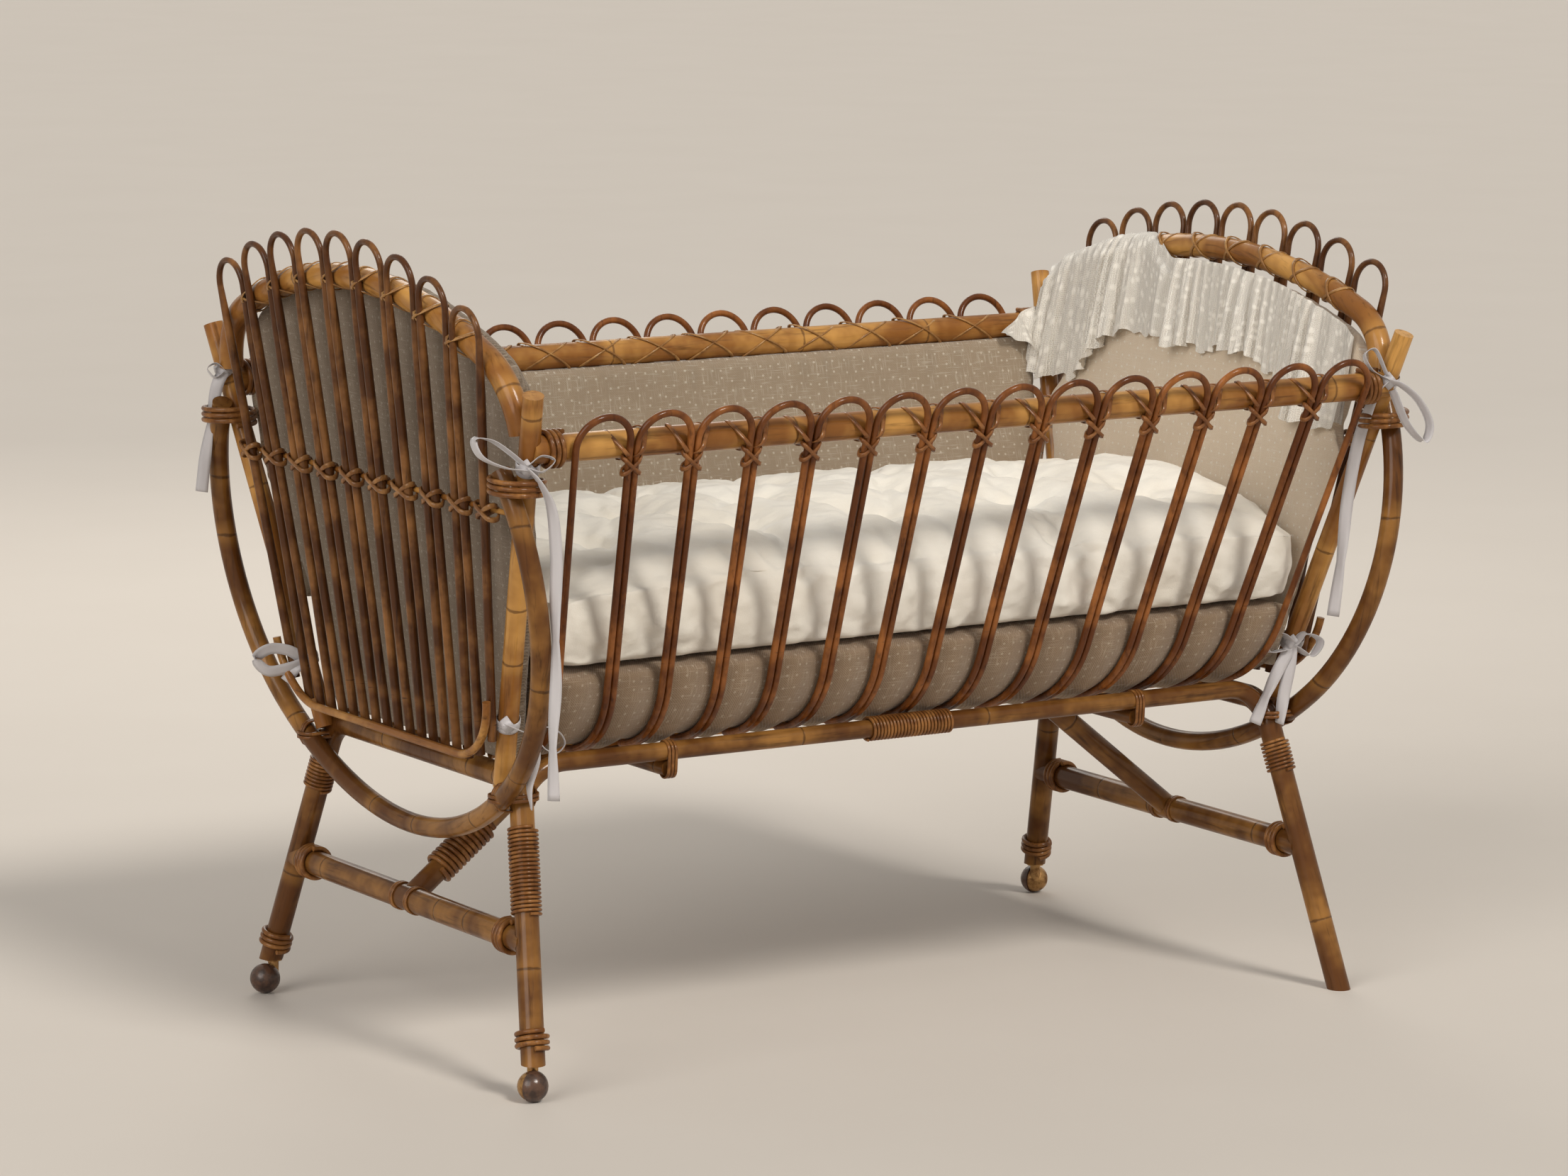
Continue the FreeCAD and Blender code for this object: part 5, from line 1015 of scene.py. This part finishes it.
def widen(spots, below, more):
    """An end bumper grows sideways, more towards its edges."""
    spots[:, 1] += np.sign(spots[:, 1]) * below * more * ramp(np.abs(spots[:, 1]), 0, SPREAD_FROM)


def shape_right(spots, normals):
    """A lip on the inner face hides the posts."""
    inside = (end_point(1, 0, ARCH_SPRING, 0) - spots) @ unit((1, 0, -END_LEAN))
    widen(spots, ramp(spots[:, 2], 0.640, 0.615), RIGHT_SPREAD + LIP_SPREAD * ramp(inside, 0.0085, 0.0125))


def shape_left(spots, normals):
    """Reaches out to the posts and down to the bow."""
    widen(spots, ramp(spots[:, 2], 0.62, 0.57), LEFT_SPREAD)
    spots[:, 2] -= LEFT_DROP * ramp(spots[:, 2], 0.40, 0.36)


# %% Pad and bumpers
COVER_VOXEL, COVER_CAP = 0.007, 0.0028
for node, material, slot, fill, shape in (
    ("base_pad", pad_linen, "dotted_linen", 0.8, shape_pad),
    ("far_bumper", far_linen, "dotted_linen", 0.5, shape_far),
    ("left_bumper", left_linen, "end_linen", 0.5, shape_left),
    ("right_bumper", right_linen, "end_linen", 0.5, shape_right),
):
    cover = soft_copy(node, f"{node}_cover_skin", COVER_VOXEL, COVER_CAP)
    normals = points_of(cover.data, "normal")
    spots = plump(cover, COVER_CAP, pressure=3.0, growth=0.02, frames=16)
    shape(spots, normals)
    set_points(cover.data, spots)
    finished(cover, f"{node}_cover", node, material)

# %% [markdown]
# ## Lace
# A strip of gathered lace hangs from the right arch. Its top edge follows the inside of the arch, and over the
# far part it wraps round the pole. Its hem is uneven, with heights taken from the photograph, and the pleats
# grow deeper as they fall. It is built as a grid: one direction along the arch, the other down the fall. A
# short tail turns the corner onto the far rail. The open work is in the material: small holes between
# threads, and closed petals.

# %% The gathered lace
COLUMNS, ROWS, PLEATS = 440, 28, 31
LACE_START, LACE_STOP = 0.316, -0.304
HEM_Y = (-0.302, -0.265, -0.205, -0.182, -0.152, -0.114, -0.077, -0.015, 0.043, 0.104, 0.170, 0.205, 0.238, 0.300)
HEM_Z = (0.645, 0.636, 0.634, 0.668, 0.684, 0.698, 0.704, 0.697, 0.698, 0.706, 0.696, 0.659, 0.636, 0.632)
WRAP_FROM, WRAP_TO, WRAP_ANGLE, WRAP_SHARE, WRAP_R, BELOW_AXIS = 0.07, 0.13, 1.7, 0.2, 0.0172, 0.0165
LOW_FAR, LOW_NEAR = 0.288, -0.290
rise = ARCH_RISE["right"]


def grid_faces(columns, rows, base=0):
    """Faces of a grid whose points run down one column after another."""
    faces = []
    for column in range(columns):
        for row in range(rows):
            a = base + column * (rows + 1) + row
            faces.append((a, a + 1, a + rows + 2, a + rows + 1))
    return faces


def lace_point(u, v, y, hem):
    """A point of the lace: u along the arch, v down the fall, y across the end, and the hem's height there."""
    axis = arch_height(y, rise)
    slope = (arch_height(y - 0.001, rise) - arch_height(y + 0.001, rise)) / 0.002
    beside, above = slope / math.hypot(slope, 1), 1 / math.hypot(slope, 1)
    over = float(np.interp(y, (WRAP_FROM, WRAP_TO), (0, 1)))
    beat = 2 * math.pi * (PLEATS * u + 1.1 * math.sin(u * 9.0) + 0.6 * math.sin(u * 23.0 + 1.3))
    depth = (0.0018 + 0.0068 * v ** 0.7) * (0.62 + 0.38 * math.sin(u * 31 + 0.6))
    phase = beat + 1.6 * v * math.sin(u * 7.0 + 0.5)
    fold = math.sin(phase) + 0.32 * math.sin(2.3 * phase + 0.7 + 2.0 * v) + 0.12 * math.sin(5.1 * phase - 3.0 * v)
    turn = (1 - min(v / WRAP_SHARE, 1)) * WRAP_ANGLE * over
    wrap = WRAP_R + 0.6 * depth * (1 + fold) * over
    off_axis = wrap * math.sin(turn) - BELOW_AXIS + BELOW_AXIS * over
    out = -wrap * math.cos(turn) if turn else -WRAP_R - depth * (1.45 + fold)
    fall = max((v - WRAP_SHARE * over) / (1 - WRAP_SHARE * over), 0)
    top_y, top_height = y + beside * off_axis, axis + above * off_axis
    low_y = max(min(y, LOW_FAR), LOW_NEAR) + 0.02 * (y / 0.3)
    lean = 0.35 * depth * math.cos(phase) - 0.012 * v * math.sin(u * 5.0)
    return arch_point(1, top_y + (low_y - top_y) * fall * 0.6 + lean, top_height + (hem - top_height) * fall, out)


across = np.linspace(LACE_START, LACE_STOP, 1200)
crown = np.array([arch_height(y, rise) for y in across])
length = np.concatenate([[0], np.cumsum(np.hypot(np.diff(across), np.diff(crown)))])
lace_points, lace_uv = [], []
for column in range(COLUMNS + 1):
    u = column / COLUMNS
    y = float(np.interp(u * length[-1], length, across))
    hem = float(np.interp(y, HEM_Y, HEM_Z)) + 0.0035 * math.sin(u * 67) + 0.0025 * math.sin(u * 151 + 1)
    for row in range(ROWS + 1):
        v = row / ROWS
        lace_points.append(lace_point(u, v, y, hem))
        lace_uv.append((u * 1.05, v * 0.16))
corner = len(lace_points)
print("lace grid", corner, "points")

# %% The tail on the far rail, and the lace's finish
TAIL_COLUMNS, TAIL_ROWS, TAIL_START, TAIL_LENGTH = 18, 8, 0.545, 0.071
for column in range(TAIL_COLUMNS + 1):
    u = column / TAIL_COLUMNS
    x = TAIL_START - TAIL_LENGTH * u
    upper_edge = float(np.interp(x, (0.474, 0.511, 0.551), (0.682, 0.706, 0.713)))
    lower_edge = float(np.interp(x, (0.474, 0.503, 0.524, 0.551), (0.677, 0.668, 0.646, 0.640)))
    for row in range(TAIL_ROWS + 1):
        v = row / TAIL_ROWS
        out = -0.0225 - 0.004 * v + 0.004 * math.sin(u * 15 + v * 3.0)
        lace_points.append(side_point(1, x, upper_edge + (lower_edge - upper_edge) * v, out))
        lace_uv.append((1.2 + u * 0.09, v * 0.07))
lace_faces = grid_faces(COLUMNS, ROWS) + grid_faces(TAIL_COLUMNS, TAIL_ROWS, corner)
lace = mesh_piece("lace_ruffle", lace_points, lace_faces)
layer = lace.data.uv_layers.new(name="cut")
for loop in lace.data.loops:
    layer.data[loop.index].uv = lace_uv[loop.vertex_index]

net, tree, shader = finish(
    "off_white_lace", Roughness=0.85, Sheen_Weight=0.4, Sheen_Roughness=0.5, Specular_IOR_Level=0.2)
cut = add(tree, "ShaderNodeUVMap", uv_map="cut").outputs["UV"]
holes = add(tree, "ShaderNodeTexVoronoi", {"Vector": cut, "Scale": 420.0, "Randomness": 0.6},
            voronoi_dimensions="2D", feature="DISTANCE_TO_EDGE").outputs["Distance"]
threads = maths(tree, "SUBTRACT", 1.0, between(tree, holes, 0.10, 0.24))
flowers = add(tree, "ShaderNodeTexVoronoi", {"Vector": cut, "Scale": 52.0, "Randomness": 0.9},
              voronoi_dimensions="2D").outputs["Distance"]
petals = maths(tree, "MULTIPLY", maths(tree, "SUBTRACT", 1.0, between(tree, flowers, 0.12, 0.34)), 0.8)
crinkle = noise(tree, vector_maths(tree, "MULTIPLY", cut, (130.0, 22.0, 1.0)), 1.0, 3.0, 0.6)
solid = maths(tree, "MAXIMUM", threads, petals)
tree.links.new(between(tree, solid, 0.0, 1.0, 0.84, 1.0), shader.inputs["Alpha"])
cream = mixed(tree, solid, (0.88, 0.81, 0.71), (0.92, 0.875, 0.79))
cream = mixed(tree, between(tree, crinkle, 0.35, 0.7, 0.0, 0.25), cream, (0.76, 0.68, 0.57))
tree.links.new(cream, shader.inputs["Base Color"])
bump(tree, shader, maths(tree, "MULTIPLY_ADD", crinkle, 3.0, solid), 0.0008)
lace.data.materials.append(net)
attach(lace, "cradle")
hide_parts("lace_trim")

# %% [markdown]
# ## Ribbons
# Satin ribbons tie the bumpers to three posts. Each ribbon is a strip swept along a smooth line through a few
# points, with a direction for its width at each point, so that loops stand on edge and tails turn as they
# hang. Distances are to the right, up and forwards as the camera sees them, in millimetres from the knot.

# %% Helpers for ribbons
RIGHTWARDS, FORWARDS, UPWARDS = np.array((0.843, -0.538, 0)), np.array((-0.538, -0.843, 0)), np.array((0, 0, 1))
RIBBON_SECTION = ((-0.5, 0), (-0.2, 0.0006), (0.2, 0.0006), (0.5, 0))
RIBBON_WIDTH, RIBBON_WALL, RING_STEPS, RING_R, RING_TURN, KNOT_OUT = 0.014, 0.0005, 25, 0.0122, 0.0022, 0.0145


def smooth_line(points, count):
    """Evenly spaced points on a smooth curve through the given ones."""
    points = np.array(points, float)
    chord = np.concatenate([[0], np.cumsum(np.sqrt(np.linalg.norm(np.diff(points, axis=0), axis=1)))])
    slope = np.gradient(points, chord, axis=0)
    at = np.linspace(0, chord[-1], count)
    index = np.clip(np.searchsorted(chord, at, side="right") - 1, 0, len(chord) - 2)
    span = (chord[index + 1] - chord[index])[:, None]
    t = (at - chord[index])[:, None] / span
    return ((2 * t ** 3 - 3 * t ** 2 + 1) * points[index] + (t ** 3 - 2 * t ** 2 + t) * span * slope[index]
            + (-2 * t ** 3 + 3 * t ** 2) * points[index + 1] + (t ** 3 - t ** 2) * span * slope[index + 1])


def strip_along(line, sides, width):
    """A ribbon's points and faces; the middle stands a little proud, as satin does."""
    points = []
    for index in range(len(line)):
        run = line[min(index + 1, len(line) - 1)] - line[max(index - 1, 0)]
        side = unit(sides[index] - np.dot(sides[index], unit(run)) * unit(run))
        face_out = np.cross(unit(run), side)
        for across, proud in RIBBON_SECTION:
            points.append(line[index] + side * across * width + face_out * proud)
    return points, grid_faces(len(line) - 1, len(RIBBON_SECTION) - 1)


satin, tree, shader = finish(
    "satin_ribbon", Roughness=0.42, Sheen_Weight=0.5, Sheen_Roughness=0.3, Specular_IOR_Level=0.5, Anisotropic=0.5)
place = place_of(tree)
sheen = noise(tree, vector_maths(tree, "MULTIPLY", place, (60.0, 60.0, 9.0)), 1.0, 2.0)
tree.links.new(mixed(tree, sheen, (0.46, 0.435, 0.44), (0.60, 0.57, 0.57)), shader.inputs["Base Color"])
tree.links.new(between(tree, sheen, 0.3, 0.7, 0.34, 0.5), shader.inputs["Roughness"])
bump(tree, shader, noise(tree, vector_maths(tree, "MULTIPLY", place, (900.0, 900.0, 90.0)), 1.0, 1.0), 0.0001)


def as_seen(rows):
    """Rows of right, up and forwards as vectors of the frame."""
    return np.array([RIGHTWARDS * r + UPWARDS * u + FORWARDS * f for r, u, f in rows])


def tie_ribbon(name, node, ties):
    """All the ribbons of a group of ties as one piece with a thin wall."""
    strips = []
    for corner, height, width, bow in ties:
        flip = np.array((*CORNERS[corner], 1))
        middle, axis = post_at(height) * flip, unit((POST_TOP - POST_FOOT) * flip)
        first = unit(np.cross(axis, FORWARDS))
        second = np.cross(axis, first)
        for turn in (-RING_TURN, RING_TURN):
            ring = [middle + axis * (turn + 0.002 * math.sin(a))
                    + (first * math.cos(a) + second * math.sin(a)) * (RING_R + turn * 0.1)
                    for a in np.linspace(0, 2 * math.pi, RING_STEPS)]
            strips.append(strip_along(np.array(ring), np.tile(axis, (RING_STEPS, 1)), width * 0.62))
        knot = middle + FORWARDS * KNOT_OUT
        for path, sides in bow:
            count = 8 * (len(path) - 1) + 1
            line = smooth_line(np.array(path) / 1000, count)
            sides = np.array(sides * len(path) if len(sides) == 1 else sides, float)
            at = np.linspace(0, len(path) - 1, count)
            turnings = np.stack([np.interp(at, np.arange(len(path)), sides[:, k]) for k in range(3)], 1)
            strips.append(strip_along(knot + as_seen(line), as_seen(turnings), width))
    piece = joined(name + "_flat", strips)
    wall = piece.modifiers.new("wall", "SOLIDIFY")
    wall.thickness, wall.offset = RIBBON_WALL, 0.0
    piece = frozen(piece, name)
    piece.data.materials.append(satin)
    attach(piece, "cradle")
    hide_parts(node)


# %% Ribbons on the posts
EDGE, FLAT, TURN = (0.15, 0.3, 1.0), (1.0, 0.0, 0.15), (0.6, 0.1, 0.8)
KNOT = ([(-5, 6, 0), (0, 0, 5), (5, -6, 0)], [(0.7, 0.7, 0)])
upper = [
    ("near_left", 0.676, 0.013, [
        KNOT,
        ([(0, 0, 2), (-14, 14, 8), (-38, 30, 10), (-54, 30, 8), (-48, 14, 10), (-24, 2, 8), (0, -2, 3)], [TURN]),
        ([(0, 0, 2), (12, -12, 8), (24, -36, 8), (30, -90, 5),
          (29, -150, 4), (30, -220, 4), (27, -280, 3), (28, -345, 3)],
         [EDGE, TURN, FLAT, FLAT, TURN, FLAT, TURN, FLAT]),
        ([(0, 0, 2), (16, -2, 8), (28, 10, 10), (16, 14, 9), (2, 4, 5)], [EDGE]),
    ]),
    ("far_left", 0.704, 0.014, [
        KNOT,
        ([(0, 0, 2), (-7, -14, 6), (-14, -50, 5), (-22, -100, 4), (-26, -136, 4)], [FLAT, FLAT, TURN, FLAT, FLAT]),
        ([(0, 0, 2), (-10, 8, 6), (-18, 2, 6), (-10, -8, 5), (0, -2, 3)], [EDGE]),
    ]),
    ("near_right", 0.700, 0.014, [
        KNOT,
        ([(0, 0, 3), (14, -4, 10), (34, -22, 12), (46, -50, 10), (40, -66, 10), (22, -50, 10), (4, -10, 5)], [TURN]),
        ([(0, 0, 2), (-12, -12, 2), (-28, -60, -16), (-40, -130, -22), (-46, -200, -22), (-54, -270, -22)],
         [EDGE, TURN, FLAT, FLAT, TURN, FLAT]),
        ([(0, 0, 3), (-20, 12, 6), (-28, 30, 5), (-18, 36, 4), (-2, 6, 4)], [EDGE]),
    ]),
]
lower = [
    ("near_left", 0.39, 0.012, [
        KNOT,
        ([(0, 0, 3), (26, -4, 22), (42, 3, 26), (56, -3, 26),
          (61, -15, 24), (53, -25, 24), (40, -21, 22), (32, -9, 20)], [(0.1, 0.2, 1.0)]),
        ([(28, -8, 22), (30, -30, 22), (24, -62, 20), (26, -86, 18)], [TURN, FLAT, TURN, EDGE]),
    ]),
    ("far_left", 0.39, 0.013, [
        KNOT,
        ([(0, 0, 3), (-18, 13, 9), (-40, 15, 12), (-54, 4, 12), (-42, -9, 12), (-18, -6, 9), (0, 0, 4)],
         [(0.1, 1.0, 0.25)]),
        ([(0, 0, 2), (-12, -8, 8), (-22, -22, 6)], [FLAT]),
    ]),
    ("near_right", 0.39, 0.014, [
        KNOT,
        ([(0, 0, 3), (-14, 12, 8), (-32, 10, 9), (-30, -8, 8), (-6, -6, 5)], [TURN]),
        ([(0, 0, 3), (14, 12, 8), (30, 4, 8), (20, -12, 8), (2, -4, 5)], [TURN]),
        ([(0, 0, 2), (-14, -24, 8), (-30, -60, 7), (-42, -92, 6)], [FLAT, FLAT, TURN, FLAT]),
        ([(0, 0, 2), (-4, -26, 8), (-10, -60, 7), (-14, -92, 6)], [TURN, FLAT, FLAT, TURN]),
    ]),
]
tie_ribbon("upper_ribbons", "upper_ties", upper)
tie_ribbon("lower_ribbons", "lower_ties", lower)

# %% [markdown]
# ## Floor and light
# A plain pale floor takes the shadow. The key light comes from the front, a little from the right, so that
# the slats throw soft shadows on the mattress as they do in the photograph. A broader light from the left
# stands for the window. Both are suns, so the floor is lit evenly to its far edge. A weak panel behind gives
# the poles a rim. The world shows a pale backdrop to the camera and to glossy rays, and a softer light to
# everything else.

# %% The studio
FLOOR_REACH, AMBIENT_STRENGTH = 40, 0.27
BACKDROP_COLOUR, AMBIENT_COLOUR = (0.60, 0.555, 0.50, 1), (0.99, 0.98, 0.97, 1)
floor_mesh = bpy.data.meshes.new("studio_floor")
floor_corners = [(sx * FLOOR_REACH, sy * FLOOR_REACH, 0) for sx, sy in ((-1, -1), (1, -1), (1, 1), (-1, 1))]
floor_mesh.from_pydata(floor_corners, [], [(0, 1, 2, 3)])
floor = bpy.data.objects.new("studio_floor", floor_mesh)
scene.collection.objects.link(floor)
floor_finish, tree, shader = finish("studio_floor", Roughness=0.7, Specular_IOR_Level=0.2)
grain = noise(tree, place_of(tree), 3.0, 3.0)
tree.links.new(mixed(tree, grain, (0.68, 0.625, 0.56), (0.71, 0.655, 0.59)), shader.inputs["Base Color"])
floor.data.materials.append(floor_finish)

world = bpy.data.worlds.new("studio_world")
scene.world = world
world.use_nodes = True
tree = world.node_tree
backdrop = tree.nodes["Background"]
backdrop.inputs["Color"].default_value = BACKDROP_COLOUR
backdrop.inputs["Strength"].default_value = 1.0
ambient = add(tree, "ShaderNodeBackground", {"Color": AMBIENT_COLOUR, "Strength": AMBIENT_STRENGTH})
path = tree.nodes.new("ShaderNodeLightPath")
seen = maths(tree, "MAXIMUM", path.outputs["Is Camera Ray"], maths(
    tree, "MAXIMUM", path.outputs["Is Glossy Ray"], path.outputs["Is Transmission Ray"]))
choice = add(tree, "ShaderNodeMixShader", {0: seen, 1: ambient.outputs[0], 2: backdrop.outputs[0]})
tree.links.new(choice.outputs[0], tree.nodes["World Output"].inputs["Surface"])


def lamp(name, kind, place, target, colour, **settings):
    data = bpy.data.lights.new(name, kind)
    data.color = colour
    for key, value in settings.items():
        setattr(data, key, value)
    thing = bpy.data.objects.new(name, data)
    scene.collection.objects.link(thing)
    turn = (Vector(target) - Vector(place)).to_track_quat("-Z", "Y").to_matrix().to_4x4()
    thing.matrix_world = Matrix.Translation(place) @ turn


lamp("key_sun", "SUN", (0.4, -3.2, 3.6), (0, 0, 0.4), (1.0, 0.965, 0.91), energy=1.75, angle=0.26)
lamp("window_sun", "SUN", (-3.5, -1.4, 2.4), (0, 0, 0.4), (1.0, 0.975, 0.94), energy=1.35, angle=0.7)
lamp("rim_panel", "AREA", (1.2, 3.2, 2.4), (0, 0, 0.55), (1.0, 0.95, 0.88), energy=24, size=1.6)
print("studio ready")
